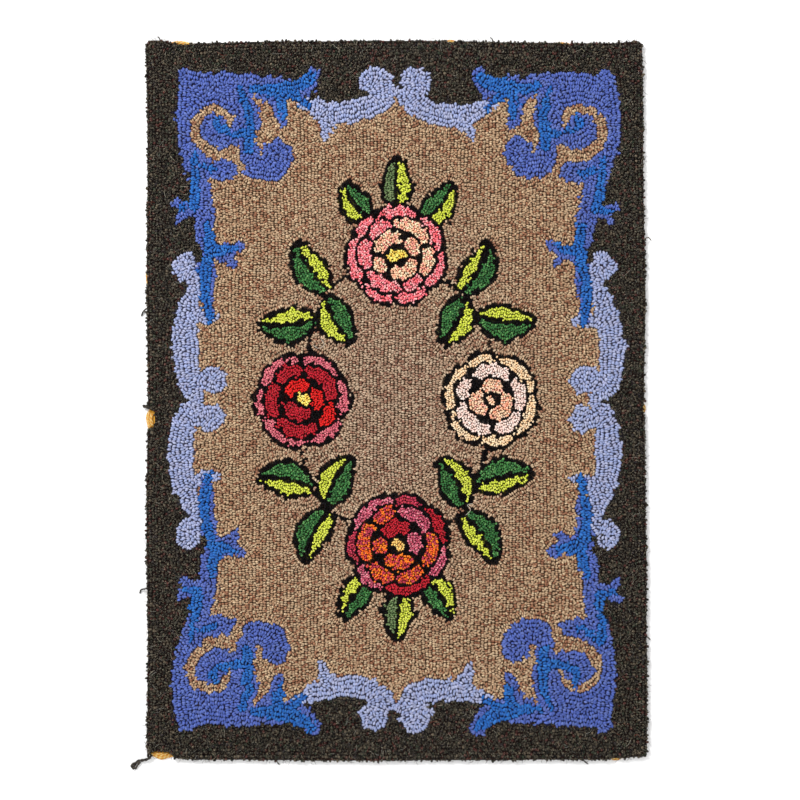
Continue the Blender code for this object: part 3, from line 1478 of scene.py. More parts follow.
def show(name: str, bm: bmesh.types.BMesh) -> Piece:
    """Turns a bmesh into a smooth object in the scene.

    Args:
        name: the object's name.
        bm: its shape, which is freed.

    Returns:
        The object.
    """
    mesh = bpy.data.meshes.new(name)
    bm.to_mesh(mesh)
    bm.free()
    mesh.shade_smooth()
    made = bpy.data.objects.new(name, mesh)
    bpy.context.scene.collection.objects.link(made)
    return made


def sweep(bm: bmesh.types.BMesh, path: Array, thick: float, sides: int, tone: str) -> None:
    """Draws a round strand along a path.

    Args:
        bm: the mesh that gets the strand.
        path: its places, as rows of x, y and z.
        thick: its diameter, which eases off at both ends.
        sides: how many sides it has.
        tone: its hex colour.
    """
    steps = [Vector(step) for step in np.diff(path, axis=0)]
    ways = [step.to_track_quat("Z", "Y") for step in steps]
    ways.append(ways[-1])
    layer = bm.verts.layers.float_color.get("tone") or bm.verts.layers.float_color.new("tone")
    frame_at = Matrix.Translation(path[0]) @ ways[0].to_matrix().to_4x4()
    made = bmesh.ops.create_circle(
        bm, segments=sides, radius=thick * 0.3, cap_ends=True, matrix=frame_at
    )
    ring, strand = made["verts"], list(made["verts"])
    edges = list({edge for vert in ring for edge in vert.link_edges})
    for number, step in enumerate(steps):
        raised = bmesh.ops.extrude_edge_only(bm, edges=edges)
        ring, edges = new_verts(raised), new_edges(raised)
        bmesh.ops.translate(bm, vec=step, verts=ring)
        turn = (ways[number + 1] @ ways[number].inverted()).to_matrix()
        middle = Vector(path[number + 1])
        bmesh.ops.rotate(bm, cent=middle, matrix=turn, verts=ring)
        swell = {0: 1.67, len(steps) - 1: 0.5}.get(number)
        if swell:
            bmesh.ops.scale(bm, vec=(swell,) * 3, space=Matrix.Translation(-middle), verts=ring)
        strand += ring
    bmesh.ops.edgeloop_fill(bm, edges=edges)
    for vert in strand:
        vert[layer] = (*linear(tone), 1.0)


def twisted(path: Array, apart: float, lay: float, start: float) -> Array:
    """Winds a strand round a path.

    Args:
        path: the path, as rows of x, y and z.
        apart: the strand's distance from it.
        lay: the path's length that one turn takes.
        start: the angle at which it begins.

    Returns:
        The strand's places.
    """
    way = np.gradient(path, axis=0)
    side = np.cross(way, (0.0, 0.0, 1.0))
    side /= np.linalg.norm(side, axis=1, keepdims=True)
    up = np.cross(side, way)
    up /= np.linalg.norm(up, axis=1, keepdims=True)
    run = np.concatenate([[0.0], np.cumsum(np.linalg.norm(np.diff(path, axis=0), axis=1))])
    angle = (start + 2 * math.pi * run / lay)[:, None]
    return path + apart * (np.cos(angle) * side + np.sin(angle) * up)


PLY_APART = 0.42  # a ply's distance from the strand's middle, in thicknesses
PLY_SIDES = 5


def ply_up(
    bm: bmesh.types.BMesh, path: Array, thick: float, lay: float, start: float,
    tones: tuple[str, ...],
) -> None:
    """Twists two plies round a path that lies on the floor or above it.

    Args:
        bm: the mesh that gets them.
        path: the path, as rows of x, y and z.
        thick: a ply's thickness.
        lay: the path's length that one turn takes.
        start: where the first ply begins, in turns.
        tones: the plies' hex colours.
    """
    for ply, tone in enumerate(tones):
        strand = twisted(path, thick * PLY_APART, lay, (start + ply / 2) * 2 * math.pi)
        strand[:, 2] = np.maximum(strand[:, 2], thick * 0.5)
        sweep(bm, strand, thick, PLY_SIDES, tone)


def show_strands(name: str, bm: bmesh.types.BMesh) -> Piece:
    """Turns a bmesh of strands into a smooth object in the scene."""
    bmesh.ops.recalc_face_normals(bm, faces=bm.faces[:])
    bm.loops.layers.uv.new("Ply")
    return show(name, bm)


def new_verts(made: dict) -> list[bmesh.types.BMVert]:
    """Returns the vertices that an operator's result holds."""
    return [item for item in made["geom"] if isinstance(item, bmesh.types.BMVert)]


def new_edges(made: dict) -> list[bmesh.types.BMEdge]:
    """Returns the edges between the vertices that an operator's result holds."""
    verts = new_verts(made)
    return [item for item in made["geom"] if isinstance(item, bmesh.types.BMEdge)
            and all(vert in verts for vert in item.verts)]


def tint(piece: Piece, tones: Array) -> None:
    """Gives each vertex of a piece its own linear colour, as the attribute "tone"."""
    colours = np.ones((len(piece.data.vertices), 4), np.float32)
    colours[:, :3] = tones
    tone = piece.data.color_attributes.new("tone", "FLOAT_COLOR", "POINT")
    tone.data.foreach_set("color", colours.ravel())


def places_of(mesh: bpy.types.Mesh) -> Array:
    """Returns a mesh's vertex places as rows of x, y and z."""
    places = np.empty(len(mesh.vertices) * 3, np.float32)
    mesh.vertices.foreach_get("co", places)
    return places.reshape(-1, 3)


def map_from_above(piece: Piece) -> None:
    """Lays a piece's texture map out as it looks from above."""
    mesh = piece.data
    flat = places_of(mesh)[:, :2]
    low, high = flat.min(axis=0), flat.max(axis=0)
    flat = 0.004 + 0.992 * (flat - low) / (high - low).max()
    corners = np.empty(len(mesh.loops), np.int32)
    mesh.loops.foreach_get("vertex_index", corners)
    layer = mesh.uv_layers.new(name="OFBake")
    layer.data.foreach_set("uv", flat[corners].ravel())


@dataclass(frozen=True)
class LoopForm:
    """One of the few shapes that the pile repeats: a blunt six-sided mound of wool.

    It is one unit long, wide and high, and its open foot is buried in the mat.

    Attributes:
        name: its name.
        foot: the foot's size.
        crown: the top's size.
        twist: degrees that the top turns against the foot.
        slide: how far the top slides along the loop.
    """

    name: str
    foot: float = 1.06
    crown: float = 0.76
    twist: float = 0.0
    slide: float = 0.0

    def build(self) -> Piece:
        """Returns the form, with the map that its twist lies on."""
        bm = bmesh.new()
        bmesh.ops.create_circle(bm, segments=6, radius=self.foot / 2.0)
        raised = bmesh.ops.extrude_edge_only(bm, edges=bm.edges[:])
        top = new_verts(raised)
        share = self.crown / self.foot
        bmesh.ops.scale(bm, vec=(share, share, 1.0), verts=top)
        turn = Matrix.Rotation(math.radians(self.twist), 3, "Z")
        bmesh.ops.rotate(bm, cent=(0.0, 0.0, 0.0), matrix=turn, verts=top)
        bmesh.ops.translate(bm, vec=(self.slide, 0.0, 1.0), verts=top)
        rim = [edge for edge in bm.edges if all(v in top for v in edge.verts)]
        bmesh.ops.edgeloop_fill(bm, edges=rim)
        bmesh.ops.recalc_face_normals(bm, faces=bm.faces[:])
        ply = bm.loops.layers.uv.new("Ply")
        for face in bm.faces:
            for corner in face.loops:
                corner[ply].uv = corner.vert.co.xy
        return show(self.name, bm)


@dataclass(frozen=True)
class HairForm:
    """A stray fibre: a bent three-sided strand, one unit long and thick, scaled thin when laid.

    Attributes:
        name: its name.
        bend: how far it bends sideways, in thicknesses.
        rise: how far its middle lifts, in thicknesses.
        steps: how many lengths it has.
    """

    name: str
    bend: float
    rise: float
    steps: int = 4

    def build(self) -> Piece:
        """Returns the form, which runs along X."""
        bm = bmesh.new()
        bmesh.ops.create_circle(
            bm, segments=3, radius=0.5, matrix=Matrix.Rotation(math.pi / 2.0, 4, "Y")
        )
        ring = bm.edges[:]
        bmesh.ops.translate(bm, vec=(-0.5, 0.0, 0.0), verts=bm.verts[:])
        for step in range(self.steps):
            raised = bmesh.ops.extrude_edge_only(bm, edges=ring)
            ring = new_edges(raised)
            middle = (step + 1) / self.steps
            lift = self.rise * 4.0 * (middle * (1 - middle) - (middle - 1 / self.steps)
                                      * (1 - middle + 1 / self.steps))
            aside = self.bend * (middle - 0.5)
            bmesh.ops.translate(bm, vec=(1.0 / self.steps, aside, lift), verts=new_verts(raised))
        bmesh.ops.recalc_face_normals(bm, faces=bm.faces[:])
        bm.loops.layers.uv.new("Ply")
        return show(self.name, bm)


@dataclass
class Scatter:
    """Sets a few forms on many places with Geometry Nodes, and keeps the result as a mesh.

    Attributes:
        name: the name of the collection that holds the forms.
        forms: what is set on the places.
    """

    name: str
    forms: tuple[LoopForm | HairForm, ...]

    def __post_init__(self) -> None:
        """Builds the forms and the node tree."""
        self.store = bpy.data.collections.new(self.name)
        for form in self.forms:
            made = form.build()
            bpy.context.scene.collection.objects.unlink(made)
            self.store.objects.link(made)
        self.tree = self.build_tree()

    def build_tree(self) -> Tree:
        """Builds the tree that puts a form on each place and makes it all one mesh."""
        tree = bpy.data.node_groups.new(self.name, "GeometryNodeTree")
        for way in ("INPUT", "OUTPUT"):
            tree.interface.new_socket("Mesh", in_out=way, socket_type="NodeSocketGeometry")
        given, result = tree.nodes.new("NodeGroupInput"), tree.nodes.new("NodeGroupOutput")
        forms = add_node(tree, "GeometryNodeCollectionInfo",
                         {"Collection": self.store, "Separate Children": True,
                          "Reset Children": True})
        read = {}
        for name, kind in (("turn", "FLOAT_VECTOR"), ("size", "FLOAT_VECTOR"), ("form", "INT")):
            read[name] = add_node(
                tree, "GeometryNodeInputNamedAttribute", {"Name": name}, data_type=kind
            ).outputs["Attribute"]
        turned = add_node(tree, "FunctionNodeEulerToRotation", {0: read["turn"]}).outputs[0]
        placed = add_node(tree, "GeometryNodeInstanceOnPoints", {
            "Points": given.outputs[0], "Instance": forms.outputs[0], "Pick Instance": True,
            "Instance Index": read["form"], "Rotation": turned, "Scale": read["size"]})
        joined = add_node(tree, "GeometryNodeRealizeInstances", {0: placed.outputs[0]})
        tree.links.new(joined.outputs[0], result.inputs[0])
        return tree

    def lay(self, name: str, places: Array, turns: Array, sizes: Array, tones: Array,
            rng: Rng) -> Piece:
        """Sets a form on each place.

        Args:
            name: the piece's name.
            places: rows of x, y and z.
            turns: rows of Euler angles, in radians.
            sizes: rows of scales.
            tones: rows of linear colours.
            rng: picks the forms.

        Returns:
            The piece, one mesh.
        """
        mesh = bpy.data.meshes.new(name)
        mesh.vertices.add(len(places))
        mesh.vertices.foreach_set("co", places.astype(np.float32).ravel())
        for label, rows in (("turn", turns), ("size", sizes)):
            layer = mesh.attributes.new(label, "FLOAT_VECTOR", "POINT")
            layer.data.foreach_set("vector", rows.astype(np.float32).ravel())
        layer = mesh.attributes.new("form", "INT", "POINT")
        layer.data.foreach_set("value", rng.integers(0, len(self.forms), len(places)))
        piece = bpy.data.objects.new(name, mesh)
        bpy.context.scene.collection.objects.link(piece)
        tint(piece, tones)
        piece.modifiers.new("Lay", "NODES").node_group = self.tree
        seen = piece.evaluated_get(bpy.context.evaluated_depsgraph_get())
        laid = bpy.data.meshes.new_from_object(seen)
        piece.modifiers.clear()
        piece.data = laid
        bpy.data.meshes.remove(mesh)
        laid.name = name
        for label in ("turn", "size", "form"):
            if label in laid.attributes:
                laid.attributes.remove(laid.attributes[label])
        map_from_above(piece)
        return piece


# ---- outlines and cloth


@dataclass
class Outline:
    """The outline of one of the frame's slabs.

    Attributes:
        node: the slab's name.
        level: the height, as a share of the slab's, at which its outline is widest.
    """

    node: str
    level: float

    def __post_init__(self) -> None:
        """Reads the outline's points, anticlockwise."""
        places = places_of(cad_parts[self.node].data)
        low, high = places[:, 2].min(), places[:, 2].max()
        near = abs(places[:, 2] - (low + self.level * (high - low))) < 0.15 * (high - low)
        flat = np.unique(np.round(places[near, :2], 5), axis=0)
        turn = np.arctan2(flat[:, 1], flat[:, 0])
        self.points = flat[np.argsort(turn)]


class Bare(NamedTuple):
    """A place at the edge where the loops are pushed in and the golden fold shows, in mm."""

    x: float
    y: float
    axis: int  # the axis that the edge runs along
    half: float  # half its length
    deep: float  # how far the loops draw back
    wide: float = 18.0  # how far across the edge the place reaches


@dataclass
class Ground:
    """The chart's ground: where there is pile, and how far each cell lies from its edge.

    Attributes:
        tuck: how far inside the pile's outline the cloth's fold usually lies.
        retreat: how much the loops draw back where the fold shows, per unit it comes out.
        bares: the places where they draw back more.
        margin: room round the outlines.
        reach: the depth past which cells count as equally deep.
        peep_reach: how far in the fold can push the loops back.
        least_peep: the least that the fold comes out and still does so.
        least_edge: how far inside the drawn back edge the pile begins.
    """

    tuck: float = 3.0 * MM
    retreat: float = 0.62
    bares: tuple[Bare, ...] = (Bare(-319, -23.5, 1, 13, 8.5), Bare(-299, -458, 0, 17, 5.0))
    margin: float = 6.0 * MM
    reach: float = 14 * MM
    peep_reach: float = 10 * MM
    least_peep: float = 0.6 * MM
    least_edge: float = 0.3 * MM

    def __post_init__(self) -> None:
        """Lays out the chart over the frame's slabs."""
        self.pile = Outline(PILE_NODE, 0.0)
        self.cloth = Outline(FOUNDATION_NODE, 0.5)
        both = np.vstack([self.pile.points, self.cloth.points])
        self.chart = Chart(both.min(axis=0) - self.margin, both.max(axis=0) + self.margin)
        in_pile = self.chart.inside(self.pile.points)
        self.pile_depth = self.depth_in(in_pile) - self.depth_in(~in_pile)
        in_cloth = self.chart.inside(self.cloth.points)
        depth = softened(self.depth_in(in_pile))
        peep = softened(self.depth_in(in_cloth) - self.depth_in(~in_cloth)) - depth + self.tuck
        peep[(depth <= 0) | (depth > self.peep_reach) | (peep < self.least_peep)] = 0.0
        self.edge = depth - self.retreat * peep
        rows, columns = np.indices(self.edge.shape)
        places = self.chart.place(np.stack([columns, rows], axis=-1)) / MM
        for bare in self.bares:
            away = places - (bare.x, bare.y)
            run, across = away[..., bare.axis], away[..., 1 - bare.axis]
            share = np.clip(1.8 * (1.0 - (run / bare.half) ** 2), 0.0, 1.0)
            near = (np.abs(across) < bare.wide) & (depth > 0)
            self.edge -= bare.deep * MM * share * near
        self.chart.yarns[self.edge > self.least_edge] = Yarn.CHARCOAL

    def depth_in(self, mask: Array) -> Array:
        """Returns how deep each cell lies inside a mask, up to the ground's reach."""
        cell = self.chart.cell
        return distance_inside(mask, round(self.reach / cell)) * cell


def quilt(bm: bmesh.types.BMesh, faces: list[bmesh.types.BMFace], step: float) -> None:
    """Cuts flat faces into a grid of squares.

    Args:
        bm: the mesh.
        faces: the faces to cut.
        step: the squares' side.
    """
    edges = list({edge for face in faces for edge in face.edges})
    verts = list({vert for face in faces for vert in face.verts})
    geometry = faces + edges + verts
    for axis in (0, 1):
        flat = [v.co[axis] for v in geometry if isinstance(v, bmesh.types.BMVert)]
        normal = (1.0, 0.0, 0.0) if axis == 0 else (0.0, 1.0, 0.0)
        for at in np.arange(min(flat) + step, max(flat) - step / 2.0, step):
            place = (at, 0.0, 0.0) if axis == 0 else (0.0, at, 0.0)
            cut = bmesh.ops.bisect_plane(bm, geom=geometry, plane_co=place, plane_no=normal)
            geometry = cut["geom"]


@dataclass
class Foundation:
    """The burlap, with its edge turned under and the backs of the stitches below.

    Attributes:
        ground: the chart's ground.
        square: side of the squares that carry the stitches' colours underneath.
        hem: how far the turned edge reaches in, underneath, with no stitches.
        underside: the height below which the cloth's underside lies.
        dull: the brightness of the stitches' backs against the loops'.
    """

    ground: Ground
    square: float = 6.5 * MM
    hem: float = 9.0 * MM
    underside: float = 0.3 * MM
    dull: float = 0.8

    def build(self, finishes: FinishBook, rng: Rng) -> Piece:
        """Builds the cloth over its node's own shape.

        Args:
            finishes: the rug's finishes.
            rng: varies the stitches.

        Returns:
            The cloth.
        """
        bm = bmesh.new()
        bm.from_mesh(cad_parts[FOUNDATION_NODE].data)
        bmesh.ops.remove_doubles(bm, verts=bm.verts[:], dist=0.01 * MM)
        bmesh.ops.dissolve_limit(
            bm, angle_limit=math.radians(1.0), verts=bm.verts[:], edges=bm.edges[:]
        )
        quilt(bm, [face for face in bm.faces if face.normal.z < -0.99], self.square)
        cloth = show("burlap_foundation", bm)
        if "custom_normal" in cloth.data.attributes:
            cloth.data.attributes.remove(cloth.data.attributes["custom_normal"])
        cloth.data.set_sharp_from_angle(angle=math.radians(40.0))
        places = places_of(cloth.data)
        chart = self.ground.chart
        yarns = chart.under(chart.yarns, places[:, :2])
        tones = shades(yarns, np.arange(len(places)), rng) * self.dull
        golden = chart.under(self.ground.edge, places[:, :2]) < self.hem
        golden |= places[:, 2] > self.underside
        tones[golden] = linear(Burlap.gold)
        tint(cloth, tones)
        finishes.dress(cloth, "burlap")
        return cloth


@dataclass
class FoldThreads:
    """The fold's loose, twisted golden threads, where the fold shows outside the loops.

    Attributes:
        ground: the chart's ground.
        shows: the fold shows where it lies less than this deep inside the pile's outline.
        thick: a thread's thickness.
        lay: the length of one turn of a pair.
        bare_edge: the inner pairs show only where the loops end farther in than this.
        rows: how far in each pair lies, its height and its start, in mm and turns.
        tones: the threads' hex colours, taken in turn.
    """

    ground: Ground
    shows: float = 1.9 * MM
    thick: float = 1.25 * MM
    lay: float = 5.5 * MM
    bare_edge: float = 0.6 * MM
    rows: tuple[tuple[float, float, float], ...] = (
        (0.2, 1.5, 0.0), (1.9, 2.9, 0.3), (3.6, 3.6, 0.6), (5.3, 4.2, 0.1), (7.0, 4.2, 0.5),
    )
    tones: tuple[str, ...] = (
        "f3cf7c", "e58f20", "efb648", "f7dc9c", "dd8418", "f0c05c", "e9a53a", "f6d890",
    )

    def runs(self) -> list[Array]:
        """Finds the stretches of the cloth's outline that show.

        Returns:
            Their places, as rows of x and y.
        """
        line = smooth_path(self.ground.cloth.points, 1.5 * MM, closed=True)
        seen = self.ground.chart.under(self.ground.pile_depth, line) < self.shows
        first = int(np.argmin(seen))
        line, seen = np.roll(line, -first, axis=0), np.roll(seen, -first)
        cuts = np.flatnonzero(np.diff(seen.astype(int))) + 1
        stretches = np.split(np.arange(len(line)), cuts)
        return [line[run] for run in stretches if len(run) > 5 and seen[run[0]]]

    def build(self, finishes: FinishBook, rng: Rng) -> Piece:
        """Lays pairs of threads along each stretch.

        Args:
            finishes: the rug's finishes.
            rng: frays them.

        Returns:
            The threads, one piece.
        """
        bm = bmesh.new()
        for run in self.runs():
            way = np.gradient(run, axis=0)
            way /= np.linalg.norm(way, axis=1, keepdims=True)
            inward = np.column_stack([-way[:, 1], way[:, 0]])
            for number, (inset, height, start) in enumerate(self.rows):
                flat = run + inward * (inset + rng.normal(0.0, 0.2)) * MM
                if number > 1:
                    edge = self.ground.chart.under(self.ground.edge, flat)
                    bare = np.flatnonzero(edge < self.bare_edge)
                    if len(bare) < 5:
                        continue
                    flat = flat[bare[0] : bare[-1] + 1]
                wave = 0.25 * np.sin(np.arange(len(flat)) * 0.5 + number)
                path = np.column_stack([flat, (height + wave) * MM])
                first = 2 * number % len(self.tones)
                ply_up(bm, path, self.thick, self.lay, start, self.tones[first : first + 2])
        threads = show_strands("fold_threads", bm)
        finishes.dress(threads, "thread")
        return threads


class Tail(NamedTuple):
    """A loose end of yarn: its spots' x, y and z in mm, its thickness and its colours."""

    spots: tuple[tuple[float, float, float], ...]
    thick: float
    tones: tuple[str, str]


DARK_PLIES = ("2b2724", "3a342e")
TAILS: tuple[Tail, ...] = (
    Tail(((-311, -451, 5), (-316, -456, 4.6), (-322, -458, 2.8), (-328, -459, 2.4),
          (-333, -463, 2.3), (-335, -470, 2.2)), 2.3, DARK_PLIES),
    Tail(((-327, -460, 2.4), (-331, -461, 3.4), (-337, -464, 2.4), (-336, -469, 1.6)), 1.9,
         ("4a443c", "2e2a26")),
    Tail(((-326, -461, 2.4), (-330, -465, 2.4), (-332, -470, 1.4)), 1.4, ("544c42", "36302b")),
    Tail(((-314, 118, 6), (-319, 116, 4), (-323, 112, 2), (-325, 107, 1.2)), 1.3, DARK_PLIES),
    Tail(((-315, -238, 6), (-320, -240, 4.4), (-325, -241, 2.4), (-327, -246, 1.2)), 1.4,
         DARK_PLIES),
    Tail(((-311, -11, 6.5), (-317, -9, 5.4), (-323, -7, 3.2)), 2.4, DARK_PLIES),
    Tail(((-300, 452, 7), (-301, 459, 5.4), (-304, 463, 3)), 1.2, DARK_PLIES),
    Tail(((314, -300, 7), (319, -301, 5), (323, -305, 2)), 1.1, ("4a4038", "2c2826")),
    Tail(((314, 205, 7), (320, 207, 5), (324, 204, 2.2)), 1.0, ("7a6c5a", "3a342e")),
    Tail(((236, -452, 7), (239, -459, 4.6), (244, -463, 1.6)), 1.1, DARK_PLIES),
    Tail(((-150, -453, 7), (-152, -459, 4.8), (-149, -464, 1.4)), 1.0, ("4a4038", "2c2826")),
    Tail(((120, 451, 7), (122, 458, 5.8), (119, 462, 3.6)), 1.0, DARK_PLIES),
    Tail(((-96, 78, 8.2), (-92, 71, 9.0), (-99, 66, 8.6), (-106, 70, 8.3)), 0.5,
         ("d8d2c4", "bfb8aa")),
    Tail(((88, -146, 8.2), (94, -139, 9.0), (90, -133, 8.8), (97, -131, 8.3)), 0.5,
         ("d8d2c4", "c9c0b0")),
)


@dataclass
class YarnTails:
    """Loose two-ply ends that hang out at the edges, and two pale ones among the leaves.

    Attributes:
        lay: the length of one turn of the two plies, against their thickness.
    """

    lay: float = 4.5

    def build(self, finishes: FinishBook) -> Piece:
        """Returns the loose ends, one piece."""
        bm = bmesh.new()
        for tail in TAILS:
            path = smooth_path(np.array(tail.spots, float) * MM, 1.4 * MM)
            thick = tail.thick * MM
            ply_up(bm, path, thick, thick * self.lay, 0.0, tail.tones)
        tails = show_strands("yarn_tails", bm)
        finishes.dress(tails, "tail")
        return tails


@dataclass
class Mat:
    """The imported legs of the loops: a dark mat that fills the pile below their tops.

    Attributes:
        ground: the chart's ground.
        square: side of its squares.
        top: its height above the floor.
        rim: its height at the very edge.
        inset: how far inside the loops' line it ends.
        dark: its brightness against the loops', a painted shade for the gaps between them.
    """

    ground: Ground
    square: float = 7.5 * MM
    top: float = 5.0 * MM
    rim: float = 2.3 * MM
    inset: float = 1.4 * MM
    dark: float = 0.5

    def build(self, finishes: FinishBook, rng: Rng) -> Piece:
        """Builds the mat inside the line where the loops end.

        Args:
            finishes: the rug's finishes.
            rng: varies its shades.

        Returns:
            The mat.
        """
        chart = self.ground.chart
        line = max(contours(self.ground.edge, self.inset), key=len)
        ring = chart.place(spaced(line[:-1], 5.0 * MM / chart.cell))
        bm = bmesh.new()
        corners = [bm.verts.new((x, y, self.top)) for x, y in ring]
        face = bm.faces.new(corners)
        if face.normal.z < 0:
            face.normal_flip()
        skirt = bmesh.ops.extrude_edge_only(bm, edges=face.edges[:])
        bmesh.ops.translate(bm, vec=(0.0, 0.0, self.rim - self.top), verts=new_verts(skirt))
        bm.normal_update()
        quilt(bm, [item for item in bm.faces if abs(item.normal.z) > 0.99], self.square)
        bmesh.ops.recalc_face_normals(bm, faces=bm.faces[:])
        if sum(item.normal.z * item.calc_area() for item in bm.faces) < 0:
            bmesh.ops.reverse_faces(bm, faces=bm.faces[:])
        for vert in bm.verts:
            if vert.co.z > self.rim + 0.1 * MM:
                vert.co.z += 0.25 * MM * math.sin(vert.co.x * 900) * math.sin(vert.co.y * 700)
        bm.loops.layers.uv.new("Ply")
        mat = show("pile_mat", bm)
        mat.data.set_sharp_from_angle(angle=math.radians(50.0))
        places = places_of(mat.data)
        yarns = chart.under(chart.yarns, places[:, :2])
        yarns[yarns == 0] = Yarn.CHARCOAL
        # painted shade: the mat is the loops' own yarn, darkened to half as the shade in the gaps
        # between them
        tint(mat, shades(yarns, np.arange(len(places)), rng) * self.dark)
        finishes.dress(mat, "field_wool")
        return mat


# ---- pile


def shades(yarns: Array, strands: Array, rng: Rng) -> Array:
    """Picks a colour for each loop from the shades that its yarn is spun from.

    Args:
        yarns: the loops' yarn numbers.
        strands: the rows that they were hooked in, which share part of their brightness.
        rng: makes the picks.

    Returns:
        Rows of linear colours.
    """
    tones = np.zeros((len(yarns), 3))
    lift = rng.normal(0.0, 1.0, int(strands.max()) + 1)[strands]
    lift = 0.25 * lift + rng.normal(0.0, 0.9, len(yarns))
    for yarn, dye in DYES.items():
        mine = yarns == int(yarn)
        palette = np.array([linear(shade) for shade in dye.shades])
        picks = rng.integers(0, len(palette), mine.sum())
        tones[mine] = palette[picks] * np.exp(dye.stray * lift[mine])[:, None]
    return tones


class Cut(NamedTuple):
    """A piece of the pile: one kind of patch within some bounds."""

    name: str
    patch: Patch
    low: tuple[float, float]  # shares of the rug's half width and half length
    high: tuple[float, float]


# The pieces of the pile. A 9 lies well outside the rug, and so sets no bound.
CUTS: tuple[Cut, ...] = (
    Cut("field_lower", Patch.FIELD, (-9, -9), (9, -0.30)),
    Cut("field_lower_middle", Patch.FIELD, (-9, -0.30), (9, 0.0)),
    Cut("field_upper_middle", Patch.FIELD, (-9, 0.0), (9, 0.30)),
    Cut("field_upper", Patch.FIELD, (-9, 0.30), (9, 9)),
    Cut("border_lower", Patch.BORDER, (-9, -9), (9, -0.62)),
    Cut("border_left", Patch.BORDER, (-9, -0.62), (0, 0.62)),
    Cut("border_right", Patch.BORDER, (0, -0.62), (9, 0.62)),
    Cut("border_upper", Patch.BORDER, (-9, 0.62), (9, 9)),
    Cut("scrolls_lower_left", Patch.SCROLL, (-9, -9), (0, 0)),
    Cut("scrolls_lower_right", Patch.SCROLL, (0, -9), (9, 0)),
    Cut("scrolls_upper_left", Patch.SCROLL, (-9, 0), (0, 9)),
    Cut("scrolls_upper_right", Patch.SCROLL, (0, 0), (9, 9)),
    Cut("rose_lower", Patch.BLOOM, (-0.5, -9), (0.5, -0.2)),
    Cut("rose_upper", Patch.BLOOM, (-0.5, 0.2), (0.5, 9)),
    Cut("rose_left", Patch.BLOOM, (-9, -0.2), (0, 0.2)),
    Cut("rose_right", Patch.BLOOM, (0, -0.2), (9, 0.2)),
    Cut("leaves_lower", Patch.LEAF, (-9, -9), (9, 0)),
    Cut("leaves_upper", Patch.LEAF, (-9, 0), (9, 9)),
    Cut("outlines_lower", Patch.OUTLINE, (-9, -9), (9, 0)),
    Cut("outlines_upper", Patch.OUTLINE, (-9, 0), (9, 9)),
)

LOOP_FORMS = (
    LoopForm("loop_plain"),
    LoopForm("loop_turned", twist=16.0, crown=0.80),
    LoopForm("loop_turned_back", twist=-14.0, crown=0.72),
    LoopForm("loop_slid", slide=0.06, crown=0.78, twist=6.0),
)

HAIR_FORMS = (
    HairForm("hair_flat", 2.0, 0.6),
    HairForm("hair_bent", 7.0, 1.2),
    HairForm("hair_hooked", -10.0, 1.0),
    HairForm("hair_arched", -4.0, 2.0),
)


